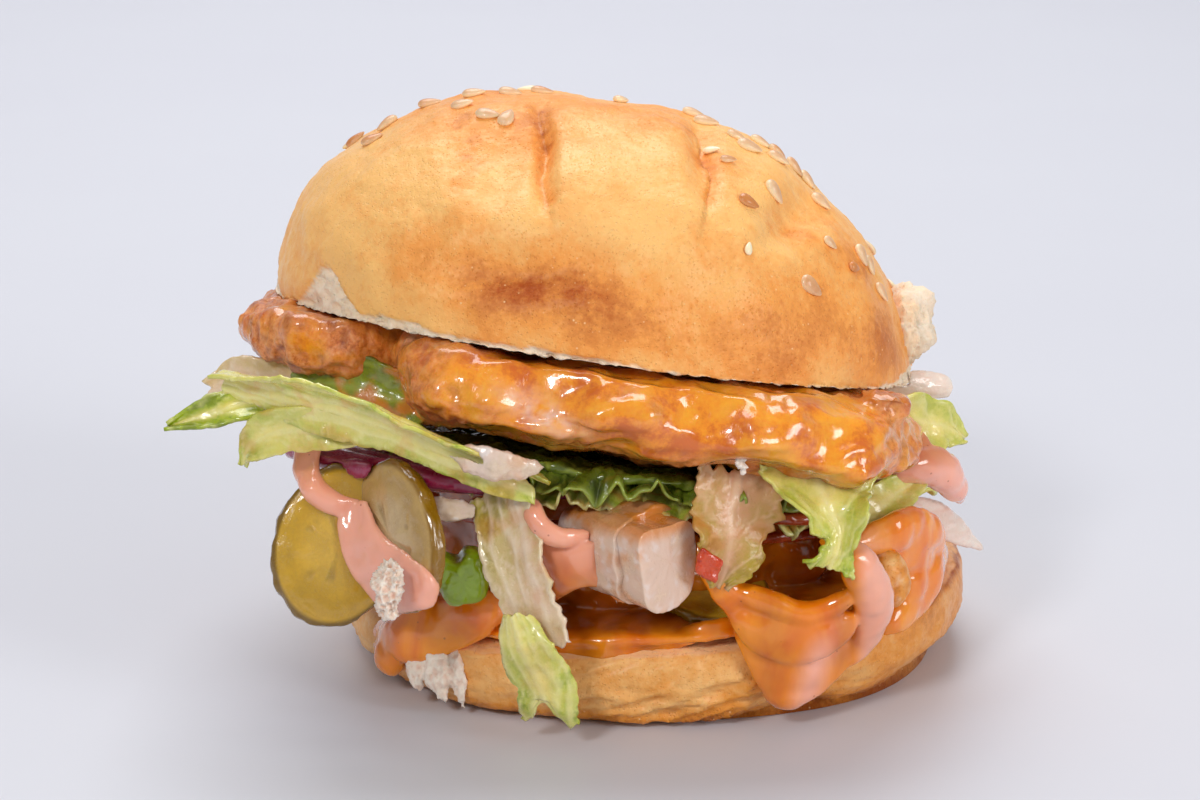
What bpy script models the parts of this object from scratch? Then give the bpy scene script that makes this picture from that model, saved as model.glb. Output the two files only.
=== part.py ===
"""A stacked chicken burger: seeded crown, two glazed fillets, salad, pickles, sauces and heel.

The frame is metres with +Z up. The origin is the middle of the heel's flat underside, and -Y is the front.
Sizes below are in millimetres and are turned into metres as each mesh is made.
"""

import math

import bmesh
import bpy
from mathutils import Vector, noise
from mathutils.bvhtree import BVHTree

MM = 0.001
GAP = 0.35
FLAT_ENOUGH = 5.0  # degrees between faces that are made one after a cut

# Buns
CROWN_CENTRE = Vector((-7.0, 0.0, 0.0))
CROWN_RADIUS_X, CROWN_RADIUS_Y, CROWN_RISE = 49.0, 47.0, 37.3
CROWN_FLOOR, CROWN_FALL_RIGHT, CROWN_FALL_BACK = 46.9, 0.147, 0.170
HEEL_CENTRE = Vector((2.5, 0.0, 0.0))
HEEL_RADIUS_X, HEEL_RADIUS_Y = 47.5, 45.5
HEEL_TOP, HEEL_BELLY = 13.4, 7.6
HEEL_FOOT, HEEL_RIM = 0.62, 0.42

# Seeds on the crown
SEED_LENGTH, SEED_WIDTH, SEED_HEIGHT = 3.6, 2.1, 1.3
SEED_TURNS, SEED_LOWEST = 62, 20.0

# Meat and the space under it
FILLET_THICKNESS, STRIP_THICKNESS = 13.0, 9.5
LEAF_THICKNESS = 0.9


def crown_floor(x, y):
    """Height of the crown's cut face: it tips down to the right and to the back."""
    return CROWN_FLOOR - CROWN_FALL_RIGHT * x - CROWN_FALL_BACK * y


def heel_top(x, y):
    """Height of the heel's cut face: a shallow dish that stands higher on the right."""
    dx, dy = x - HEEL_CENTRE.x, y - HEEL_CENTRE.y
    dish = 1.6 * ((dx * dx + dy * dy) / HEEL_RADIUS_X**2 - 0.5)
    return HEEL_TOP + 0.055 * dx + dish


def level(x, y, share):
    """Height at a share of the way from the heel's top up to the fillet's underside."""
    low = heel_top(x, y) + GAP
    high = crown_floor(x, y) - FILLET_THICKNESS - 3 * GAP
    return low + share * (high - low)


def superellipse(theta, radius_x, radius_y, power):
    """Radius of a rounded oval outline in direction theta."""
    across = abs(math.cos(theta) / radius_x) ** power
    along = abs(math.sin(theta) / radius_y) ** power
    return (across + along) ** (-1.0 / power)


def signed_power(value, power):
    return math.copysign(abs(value) ** power, value)


def uneven(theta, seed, amount):
    """A slow closed wave round an outline, so that no piece is a true oval."""
    waves = (2, 3, 5, 8)
    return amount * sum(math.sin(n * theta + seed * n * 1.7) / n**0.7 for n in waves) / 1.6


def lumps(point, size, amount, seed=0.0):
    """Rounded lumps of about this size, in millimetres."""
    return amount * noise.noise(Vector(point) / size + Vector((seed, 2.3 * seed, -seed)))


def hump(value, centre, width):
    """A bell curve that is 1 at its centre."""
    return math.exp(-(((value - centre) / width) ** 2))


def turn_between(theta, centre):
    """Angle from centre to theta, between -pi and pi."""
    return (theta - centre + math.pi) % (2 * math.pi) - math.pi


def curve_at(points, t):
    """A smooth curve through the points, at t from 0 to 1.

    Each point may hold further values, such as a width.
    """
    spans = len(points) - 1
    i = min(int(t * spans), spans - 1)
    f = t * spans - i
    a, b = points[i], points[i + 1]
    before = points[i - 1] if i > 0 else [2 * p - q for p, q in zip(a, b)]
    after = points[i + 2] if i + 2 <= spans else [2 * q - p for p, q in zip(a, b)]
    return [
        0.5 * (2 * q + (r - p) * f + (2 * p - 5 * q + 4 * r - s) * f**2 + (3 * q - p - 3 * r + s) * f**3)
        for p, q, r, s in zip(before, a, b, after)
    ]


def frame_at(points, t, roll):
    """Point, width direction and outward direction of a strip at t, turned by roll about its run."""
    step = 0.02
    here = Vector(curve_at(points, t)[:3])
    ahead = Vector(curve_at(points, min(1.0, t + step))[:3])
    behind = Vector(curve_at(points, max(0.0, t - step))[:3])
    run = (ahead - behind).normalized()
    out = Vector((here.x - 5.0, here.y, 0.0)).normalized()
    across = run.cross(out).normalized()
    face = across.cross(run)
    turned = across * math.cos(roll) + face * math.sin(roll)
    return here, turned, turned.cross(run).normalized()


MATERIALS = {
    "crust": ((0.80, 0.45, 0.19), 0.55),
    "heel_crust": ((0.76, 0.47, 0.22), 0.6),
    "glazed_chicken": ((0.78, 0.30, 0.05), 0.2),
    "lettuce": ((0.55, 0.60, 0.17), 0.4),
    "dark_lettuce": ((0.10, 0.16, 0.02), 0.4),
    "lettuce_rib": ((0.80, 0.72, 0.58), 0.35),
    "pickle": ((0.42, 0.30, 0.04), 0.25),
    "red_onion": ((0.30, 0.03, 0.12), 0.3),
    "pale_onion": ((0.78, 0.66, 0.62), 0.3),
    "tomato": ((0.55, 0.09, 0.02), 0.2),
    "pepper": ((0.20, 0.32, 0.02), 0.25),
    "chilli": ((0.60, 0.04, 0.01), 0.25),
    "orange_sauce": ((0.80, 0.28, 0.03), 0.15),
    "pink_sauce": ((0.80, 0.40, 0.24), 0.15),
    "crumb": ((0.82, 0.68, 0.52), 0.9),
}


def material(name):
    made = bpy.data.materials.get(name)
    if made is None:
        colour, roughness = MATERIALS[name]
        made = bpy.data.materials.new(name)
        made.use_nodes = True
        shader = made.node_tree.nodes["Principled BSDF"]
        shader.inputs["Base Color"].default_value = (*colour, 1.0)
        shader.inputs["Roughness"].default_value = roughness
    return made


def finish(name, bm, finish_name, smooth=True):
    """Makes the object from the bmesh, in metres, with its material."""
    bmesh.ops.recalc_face_normals(bm, faces=bm.faces)
    mesh = bpy.data.meshes.new(name)
    bm.to_mesh(mesh)
    bm.free()
    mesh.materials.append(material(finish_name))
    if smooth:
        mesh.shade_smooth()
    obj = bpy.data.objects.new(name, mesh)
    bpy.context.scene.collection.objects.link(obj)
    return obj


def ball(name, place, segments, rings, finish_name):
    """A closed solid: a sphere whose points are moved to where place(theta, phi) says, in millimetres."""
    bm = bmesh.new()
    bmesh.ops.create_uvsphere(bm, u_segments=segments, v_segments=rings, radius=1.0)
    for vert in bm.verts:
        theta = math.atan2(vert.co.y, vert.co.x)
        phi = math.asin(max(-1.0, min(1.0, vert.co.z)))
        vert.co = Vector(place(theta, phi)) * MM
    bmesh.ops.triangulate(bm, faces=bm.faces)
    return finish(name, bm, finish_name)


def leaf(name, spine, roll, cup, ruffle, cells, finish_name, thickness=LEAF_THICKNESS, seed=1.0):
    """A thin wavy sheet along a spine of (x, y, z, half width), turned by roll (start, end) in degrees.

    cup lifts the two edges outwards, and ruffle waves them.
    """
    bm = bmesh.new()
    bmesh.ops.create_grid(bm, x_segments=cells[0], y_segments=cells[1], size=1.0)
    for vert in bm.verts:
        t, v = (vert.co.x + 1) / 2, vert.co.y
        half = max(0.3, curve_at(spine, t)[3])
        here, across, out = frame_at(spine, t, math.radians(roll[0] + (roll[1] - roll[0]) * t))
        ragged = 1.0 + 0.10 * noise.noise(Vector((5.0 * t, 3.0 * v, seed)))
        wave = ruffle * abs(v) ** 1.5 * math.sin(11.0 * t + 2.2 * seed + v)
        wave += 0.5 * ruffle * noise.noise(Vector((3.0 * t, 1.5 * v, 4.0 * seed)))
        vert.co = (here + across * half * v * ragged + out * (cup * abs(v) ** 1.6 + wave)) * MM
    bmesh.ops.triangulate(bm, faces=bm.faces)
    obj = finish(name, bm, finish_name)
    wall = obj.modifiers.new("wall", "SOLIDIFY")
    wall.thickness = thickness * MM
    wall.offset = 0.0
    return baked(obj)


def strand(name, spine, roll, segments, rings, finish_name, blunt=6.0, lump=0.3, seed=1.0):
    """A fat run of sauce or stem along a spine of (x, y, z, half width, half thickness)."""

    def place(theta, phi):
        t = 0.5 + 0.5 * math.sin(phi)
        here, across, out = frame_at(spine, t, math.radians(roll))
        half, thick = curve_at(spine, t)[3:5]
        taper = (1.0 - abs(math.sin(phi)) ** blunt) ** 0.5
        bump = 1.0 + lumps(here, 4.0, lump, seed) * 0.5
        return here + (across * half * math.cos(theta) + out * thick * math.sin(theta)) * taper * bump

    return ball(name, place, segments, rings, finish_name)


def slice_of(name, centre, normal, half_tall, half_wide, half_thick, finish_name, lean=0.0,
             segments=20, rings=7):
    """A flat round slice that faces along its normal, with softened edges."""
    normal = Vector(normal).normalized()
    side = normal.cross(Vector((0, 0, 1))).normalized()
    tall = side.cross(normal)
    side, tall = (
        side * math.cos(lean) + tall * math.sin(lean),
        tall * math.cos(lean) - side * math.sin(lean),
    )

    def place(theta, phi):
        spread = math.cos(phi) ** 0.28
        reach = 1.0 + uneven(theta, half_tall, 0.018)
        point = Vector(centre)
        point += side * half_wide * reach * spread * math.cos(theta)
        point += tall * half_tall * reach * spread * math.sin(theta)
        return point + normal * half_thick * signed_power(math.sin(phi), 0.75)

    return ball(name, place, segments, rings, finish_name)


def layer(name, centre, radii, shares, finish_name, segments, rings, edge=0.35, wave=0.6, seed=1.0,
          frill=0.0):
    """A filling that runs through the burger, between two shares of the space over the heel.

    wave makes its outline uneven, and frill waves its edge up and down.
    """

    def place(theta, phi):
        spread = abs(math.cos(phi)) ** edge
        reach = superellipse(theta, *radii, 2.2) + uneven(theta, seed, wave)
        x = centre[0] + reach * spread * math.cos(theta)
        y = centre[1] + reach * spread * math.sin(theta)
        middle, half = (shares[0] + shares[1]) / 2, (shares[1] - shares[0]) / 2
        share = middle + half * signed_power(math.sin(phi), 0.6)
        share += frill * spread**6 * math.sin(13.0 * theta + seed)
        return x, y, level(x, y, share)

    return ball(name, place, segments, rings, finish_name)


def heel_point(theta, phi):
    """A point of the heel's skin: phi is 90 degrees in the middle of the top and 0 at the belly."""
    radius = superellipse(theta, HEEL_RADIUS_X, HEEL_RADIUS_Y, 2.15) + uneven(theta, 0.6, 0.9)
    radius += 0.7 * hump(turn_between(theta, math.radians(-128)), 0.0, 0.12)
    spread = max(0.0, math.cos(phi)) ** (0.35 if phi > 0 else 0.5)
    x = HEEL_CENTRE.x + radius * spread * math.cos(theta)
    y = HEEL_CENTRE.y + radius * spread * math.sin(theta)
    belly = HEEL_BELLY + 2.2 * math.cos(theta) - 0.4 * math.sin(theta)
    if phi >= 0:
        z = belly + (heel_top(x, y) - belly) * math.sin(phi) ** 0.45
    else:
        under = min(1.0, -math.sin(phi) / HEEL_FOOT)
        z = belly * (1.0 - under) ** 1.4
    return Vector((x, y, z))


def heel_skin(theta, phi, offset):
    """A point this far outside the heel's skin."""
    step = 0.03
    here = heel_point(theta, phi)
    along = heel_point(theta + step, phi) - heel_point(theta - step, phi)
    down = heel_point(theta, phi - step) - heel_point(theta, phi + step)
    return here + down.cross(along).normalized() * offset


def coat(name, theta_middle, theta_half, phi_top, phi_foot, thick, finish_name, segments=24, rings=10,
         lobes=(), lip=0.0, lip_slope=0.0):
    """Thick sauce that lies over the heel's edge.

    Each lobe (turn, width, reach) runs further down the side. Past the rim the sauce stands up by
    lip, which changes along it by lip_slope.
    """

    def place(theta, phi):
        across = math.cos(theta) * math.cos(phi)
        down = math.sin(theta) * math.cos(phi)
        foot = phi_foot + sum(reach * hump(across, where, width) for where, width, reach in lobes)
        drop = phi_top + (foot - phi_top) * (0.5 - 0.5 * down)
        swell = thick * (1.0 + 0.25 * math.sin(5 * across + 2) * (0.5 - 0.5 * down))
        rise = max(0.0, math.sin(phi)) ** 0.55 * swell
        point = heel_skin(theta_middle + theta_half * across, min(drop, HEEL_RIM), 1.8 * GAP + rise)
        stand = max(0.0, drop - HEEL_RIM) / (phi_top - HEEL_RIM)
        point.z += stand * (lip + lip_slope * across)
        return point

    return ball(name, place, segments, rings, finish_name)


def crown_point(theta, phi):
    """A point of the crown: phi is 90 degrees at the top, 0 at the rim and -90 on the cut face."""
    reach = superellipse(theta, CROWN_RADIUS_X, CROWN_RADIUS_Y, 2.1) + uneven(theta, 1.3, 0.5)
    x = CROWN_CENTRE.x + reach * math.cos(phi) * math.cos(theta)
    y = CROWN_CENTRE.y + reach * math.cos(phi) * math.sin(theta)
    if phi < 0:
        return Vector((x, y, crown_floor(x, y) + 0.5 * GAP - 0.6 * math.sin(phi)))
    shoulder = 1.7 * hump(x, 20.0, 15.0) * math.sin(2 * phi)
    point = Vector((x, y, crown_floor(x, y) + 0.5 * GAP + CROWN_RISE * math.sin(phi) + shoulder))
    out = Vector((
        math.cos(phi) * math.cos(theta) / CROWN_RADIUS_X,
        math.cos(phi) * math.sin(theta) / CROWN_RADIUS_Y,
        math.sin(phi) / CROWN_RISE,
    )).normalized()
    return point - out * crown_dent(point, out) * min(1.0, 3.0 * math.sin(phi) + 0.25)


# Dents in the crust as (x, z, half width, half height, depth)
FRONT_DENTS = (
    (-20.3, 82.0, 5.5, 4.5, 2.3),
    (-14.3, 82.0, 1.6, 4.6, 1.8),
    (8.6, 80.5, 2.0, 4.4, 1.9),
    (-14.0, 68.7, 11.0, 3.2, 2.3),
    (22.5, 72.6, 6.0, 3.0, 2.5),
)
BACK_DENTS = (
    (-20.0, 64.0, 9.0, 4.0, 2.0),
    (12.0, 60.0, 7.0, 6.0, 2.0),
    (-4.0, 72.0, 2.0, 8.0, 1.6),
)


def crown_dent(point, out):
    """How deep the crust is pressed in at a point, in millimetres."""
    dents = FRONT_DENTS if out.y < 0 else BACK_DENTS
    facing = min(1.0, 2.5 * abs(out.y))
    pressed = sum(
        depth * hump(point.x, x, wide) * hump(point.z, z, tall) for x, z, wide, tall, depth in dents
    )
    return facing * pressed + lumps(point, 16.0, 0.9, 3.0) + lumps(point, 7.0, 0.35, 5.0)


def make_crown():
    """The crown, with its torn flap and its seeds fused on."""
    share_above = 0.8

    def place(theta, phi):
        run = 0.5 - phi / math.pi
        if run <= share_above:
            return crown_point(theta, math.pi / 2 * (1 - run / share_above))
        return crown_point(theta, -math.pi / 2 * (run - share_above) / (1 - share_above))

    crown = ball("crown", place, 44, 16, "crust")
    extras = [make_flap(), *make_seeds()]
    return fused(crown, extras)


def make_flap():
    """The torn tongue of crumb that stands out along the crown's right end."""
    spine = [(38.4, -9.0, 49.2, 4.6, 3.4), (40.4, -1.0, 49.2, 6.4, 4.8), (39.8, 6.0, 48.2, 6.2, 4.6),
             (37.2, 13.0, 46.8, 5.0, 4.0), (33.6, 20.0, 45.4, 3.0, 2.6)]
    return strand("flap", spine, 0.0, 10, 8, "crust", lump=0.8, seed=4.0)


def seed_line(theta):
    """The lowest that seeds lie, in degrees up the crown: its front is bare and its left nearly so."""
    front = hump(turn_between(theta, math.radians(-97)), 0.0, 0.62)
    left = hump(turn_between(theta, math.radians(-162)), 0.0, 0.6)
    return SEED_LOWEST + 54.0 * front + 24.0 * left


def seed_places():
    """Where the seeds lie, as (theta, phi, turn): a loose spiral from the top down to the seed line."""
    places = []
    step = math.pi * (3 - math.sqrt(5))
    for i in range(SEED_TURNS):
        theta = i * step + 0.45 * noise.noise(Vector((0.3, i * 0.7, 0.0)))
        height = 84.0 - (84.0 - SEED_LOWEST) * math.sqrt(i / SEED_TURNS)
        height += 5.0 * noise.noise(Vector((i * 0.9, 0.2, 4.0)))
        if height > seed_line(theta):
            places.append((theta, math.radians(height), 2.4 * i))
    return places


def make_seeds():
    """One small teardrop for each seed, pressed a little into the crust."""
    seeds = []
    for i, (theta, phi, turn) in enumerate(seed_places()):
        step = 0.02
        here = crown_point(theta, phi)
        round_about = (crown_point(theta + step, phi) - crown_point(theta - step, phi)).normalized()
        up = (crown_point(theta, phi + step) - crown_point(theta, phi - step)).normalized()
        out = round_about.cross(up).normalized()
        along = (round_about * math.cos(turn) + up * math.sin(turn)).normalized()
        side = out.cross(along)
        centre = here + out * 0.12 * SEED_HEIGHT

        def place(angle, height, centre=centre, along=along, side=side, out=out):
            narrow = 1.0 - 0.35 * math.sin(height)
            point = centre + along * SEED_LENGTH / 2 * math.sin(height)
            point += side * SEED_WIDTH / 2 * narrow * math.cos(height) * math.cos(angle)
            return point + out * SEED_HEIGHT / 2 * narrow * math.cos(height) * math.sin(angle)

        seeds.append(ball(f"seed_{i}", place, 6, 3, "crust"))
    return seeds


def make_heel():
    return ball("heel", heel_point, 44, 13, "heel_crust")


def slab(name, centre, outline, thickness, drop, segments, rings, amount, seed, thin_end=1.0,
         droop=0.0):
    """A fillet: a slab under the crown's floor with rounded edges and a lumpy skin.

    Its left end is thinner by thin_end and hangs lower by droop.
    """

    def place(theta, phi):
        reach = outline(theta) + uneven(theta, seed, 1.0)
        spread = abs(math.cos(phi)) ** 0.42
        x = centre[0] + reach * spread * math.cos(theta)
        y = centre[1] + reach * spread * math.sin(theta)
        left = min(1.0, max(0.0, (x + 62.0) / 20.0))
        thick = thickness * (thin_end + (1.0 - thin_end) * left)
        top = crown_floor(x, y) - GAP - drop - droop * (1.0 - left)
        z = top - thick * (0.5 - 0.5 * signed_power(math.sin(phi), 0.8))
        rough = lumps((x, y, z), 9.0, amount, seed) + lumps((x, y, z), 5.0, amount / 2, seed)
        inward = 1.0 + rough * (1 - abs(math.sin(phi)) ** 3) / max(reach, 1.0)
        x, y = centre[0] + (x - centre[0]) * inward, centre[1] + (y - centre[1]) * inward
        return x, y, z - abs(0.4 * rough)

    return ball(name, place, segments, rings, "glazed_chicken")


def make_chicken():
    """The broad fillet in front and the thinner strip that hangs out on the left."""

    def broad(theta):
        back_left = hump(turn_between(theta, math.radians(150)), 0.0, 0.75)
        back_right = hump(turn_between(theta, math.radians(35)), 0.0, 0.5)
        return superellipse(theta, 39.5, 45.5, 3.6) * (1.0 - 0.36 * back_left - 0.10 * back_right)

    def narrow(theta):
        return superellipse(theta - math.radians(-8), 17.0, 36.0, 2.6)

    fillet = slab("fillet", (1.0, -8.0), broad, FILLET_THICKNESS, 0.0, 40, 10, 4.0, 2.0)
    strip = slab("fillet_strip", (-41.5, 1.0), narrow, STRIP_THICKNESS, -0.6, 26, 8, 4.0, 4.0, thin_end=0.6,
                 droop=2.4)
    nub = strand("fillet_nub", [(34.6, -30.0, 47.4, 3.4, 4.2), (35.6, -37.4, 46.0, 3.6, 4.6)],
                 90.0, 10, 7, "glazed_chicken")
    return [fused(fillet, [nub]), strip]


def make_pickles():
    """Two gherkin slices that hang out at the left and one that lies flat on the heel in front."""
    return [
        slice_of("pickle_left", (-44.0, -40.2, 27.2), (0.12, -0.95, 0.26), 12.0, 9.4, 1.6,
                 "pickle", lean=0.30),
        slice_of("pickle_leaning", (-34.8, -44.6, 30.0), (-0.74, -0.64, 0.16), 11.4, 8.8, 1.8,
                 "pickle", lean=-0.6),
        slice_of("pickle_flat", (10.6, -33.8, 17.9), (0.05, -0.30, 0.95), 8.0, 8.0, 1.3, "pickle"),
    ]


def make_leaves():
    """The lettuce that shows: each leaf's spine is (x, y, z, half width)."""
    return [
        leaf("leaf_long",
             [(-59.8, -36.0, 52.0, 1.9), (-54.3, -40.0, 51.4, 3.0), (-48.6, -44.0, 50.6, 4.6),
              (-42.8, -46.6, 49.6, 5.4), (-36.4, -48.0, 47.6, 5.6), (-30.0, -49.0, 44.9, 4.6),
              (-23.1, -48.5, 42.0, 3.8), (-14.4, -46.0, 38.7, 2.0)],
             (-30, -22), 2.6, 0.7, (14, 5), "lettuce", seed=1.0),
        leaf("leaf_tip",
             [(-47.0, -30.0, 45.8, 2.0), (-54.5, -32.0, 46.8, 2.9), (-61.9, -34.0, 45.4, 2.4),
              (-68.8, -34.5, 43.3, 0.4)],
             (-10, 12), 0.9, 0.3, (9, 3), "lettuce", seed=2.0),
        leaf("leaf_lobe",
             [(-38.0, -44.8, 46.2, 2.2), (-45.0, -44.6, 46.2, 3.0), (-51.2, -42.4, 45.3, 3.4),
              (-55.8, -39.6, 42.2, 2.6), (-57.2, -38.8, 39.0, 0.7)],
             (14, 4), 0.8, 0.5, (9, 3), "lettuce", seed=3.0),
        leaf("leaf_pale",
             [(-48.0, -26.5, 46.6, 3.0), (-53.6, -26.0, 46.9, 4.3), (-59.2, -25.0, 47.0, 4.2),
              (-64.0, -24.0, 45.6, 1.6)],
             (-16, 6), 0.8, 0.5, (9, 3), "lettuce_rib", seed=12.0),
        leaf("leaf_hung_upper",
             [(-20.5, -43.6, 36.4, 4.4), (-18.9, -46.6, 29.4, 5.0), (-16.6, -49.2, 22.7, 4.8),
              (-13.8, -50.6, 16.2, 4.0)],
             (8, -8), 0.6, 0.5, (10, 4), "lettuce_rib", seed=4.0),
        leaf("leaf_hung_lower",
             [(-18.4, -51.9, 20.6, 1.3), (-16.6, -52.6, 15.4, 3.8), (-14.4, -52.0, 10.4, 4.6),
              (-15.0, -50.8, 5.2, 0.9)],
             (-6, 6), -0.8, 0.5, (9, 4), "lettuce", seed=5.0),
        leaf("leaf_behind",
             [(13.6, -42.6, 39.4, 6.2), (12.8, -45.4, 33.6, 5.8), (12.4, -46.6, 28.6, 3.6),
              (10.8, -47.0, 23.8, 1.6)],
             (0, 12), 1.0, 0.8, (10, 5), "lettuce_rib", seed=6.0),
        leaf("leaf_right",
             [(25.4, -43.4, 40.6, 8.6), (26.4, -46.8, 36.0, 6.4), (26.8, -48.2, 31.4, 2.6),
              (26.4, -48.6, 27.4, 4.2)],
             (0, -6), 1.2, 0.8, (10, 5), "lettuce", seed=7.0),
        leaf("leaf_curl",
             [(42.6, -22.5, 32.6, 1.2), (37.6, -27.5, 31.2, 2.6), (32.0, -33.0, 29.6, 3.0),
              (26.6, -37.0, 29.4, 1.6)],
             (-30, -45), 1.0, 0.5, (10, 4), "lettuce", seed=8.0),
        leaf("leaf_far_right",
             [(36.0, -17.0, 39.0, 3.6), (41.4, -16.0, 38.4, 4.6), (45.4, -13.0, 37.0, 3.6),
              (49.4, -10.0, 34.4, 1.0)],
             (-10, 14), 0.6, 0.7, (9, 4), "lettuce", seed=9.0),
        leaf("leaf_dark_left",
             [(-34.0, -33.0, 50.0, 2.6), (-42.0, -31.0, 51.0, 3.2), (-51.0, -26.0, 49.6, 1.4)],
             (-24, -14), 0.7, 0.7, (8, 3), "dark_lettuce", seed=10.0),
    ]


def make_back_leaves():
    """Lettuce edges that stick out round the back, one at each angle."""
    leaves = []
    for i, degrees in enumerate((20, 62, 100, 141, 178)):
        angle = math.radians(degrees)
        swing = math.radians(15)
        spine = []
        for turn, out, half in ((-1.0, 38.5, 1.2), (-0.35, 44.0, 4.2), (0.4, 44.5, 4.6), (1.0, 39.5, 1.0)):
            x = 1.0 + out * math.cos(angle + turn * swing)
            y = out * math.sin(angle + turn * swing)
            spine.append((x, y, level(x, y, 0.55 + 0.08 * turn), half))
        leaves.append(leaf(f"leaf_back_{i}", spine, (58, 74), 0.5, 1.0, (7, 2), "lettuce", seed=11.0 + i))
    return leaves


def make_fillings():
    """The layers that run through, from the top down."""
    return [
        layer("lettuce_top", (0.0, -4.0), (40.0, 42.0), (0.87, 0.96), "dark_lettuce", 38, 5,
              wave=1.6, seed=2.0, frill=0.025),
        layer("onion_slice", (-27.0, -13.0), (28.5, 30.5), (0.72, 0.83), "red_onion", 24, 5,
              edge=0.16, wave=0.3, seed=3.0),
        layer("tomato_right", (15.0, -12.0), (25.0, 28.0), (0.66, 0.79), "tomato", 22, 5,
              edge=0.2, wave=0.4, seed=7.0),
        layer("tomato_slice", (0.0, -4.0), (38.0, 36.5), (0.48, 0.62), "tomato", 26, 5,
              edge=0.2, wave=0.4, seed=4.0),
        layer("lettuce_bed", (1.0, 5.0), (41.5, 34.0), (0.16, 0.43), "lettuce", 36, 5,
              wave=1.5, seed=5.0, frill=0.03),
        layer("dressing", (2.0, -1.0), (43.0, 43.0), (0.01, 0.09), "orange_sauce", 32, 5,
              wave=0.6, seed=6.0),
    ]


def make_small_pieces():
    """The chunks that show in front: white stem, green pepper, onion slivers, chilli and torn bread."""
    return [
        strand("stem_piece",
               [(-8.6, -37.0, 27.6, 5.2, 4.4), (-3.4, -43.0, 27.8, 5.9, 5.0), (3.4, -50.2, 28.4, 6.2, 5.4)],
               0.0, 14, 9, "lettuce_rib", blunt=90.0, lump=0.2),
        strand("stem_sliver",
               [(-33.0, -42.0, 33.6, 1.0, 0.8), (-28.6, -43.2, 33.6, 2.0, 1.0),
                (-23.4, -43.4, 33.4, 1.3, 0.8)],
               0.0, 8, 6, "lettuce_rib"),
        strand("stem_under_fillet",
               [(-27.8, -50.6, 45.0, 1.0, 0.8), (-23.4, -52.0, 43.6, 2.4, 1.0),
                (-18.4, -52.0, 42.6, 2.2, 1.0), (-14.0, -50.6, 42.2, 0.9, 0.8)],
               0.0, 10, 6, "lettuce_rib"),
        slice_of("pepper_piece", (-25.4, -41.6, 23.6), (0.2, -0.95, 0.2), 4.3, 3.3, 2.6, "pepper",
                 segments=12, rings=6),
        slice_of("chilli_piece", (9.2, -50.2, 27.6), (0.0, -1.0, 0.2), 2.1, 1.7, 0.7, "chilli",
                 lean=0.6, segments=8, rings=5),
        strand("onion_sliver_low",
               [(37.6, -23.5, 27.4, 2.0, 1.0), (45.1, -18.0, 23.8, 3.0, 1.1),
                (52.6, -12.4, 17.2, 0.9, 0.8)],
               8.0, 10, 8, "pale_onion"),
        strand("onion_sliver_high",
               [(36.0, -10.0, 42.6, 1.8, 1.2), (43.0, -8.0, 42.2, 2.4, 1.4),
                (47.8, -6.0, 41.2, 1.8, 1.2)],
               0.0, 10, 6, "pale_onion", blunt=10.0),
        strand("bread_on_sauce",
               [(-35.2, -53.6, 29.6, 1.6, 1.0), (-36.2, -54.0, 25.6, 2.9, 1.5),
                (-36.6, -53.6, 20.8, 1.4, 1.0)],
               0.0, 10, 7, "crumb"),
    ]


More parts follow.
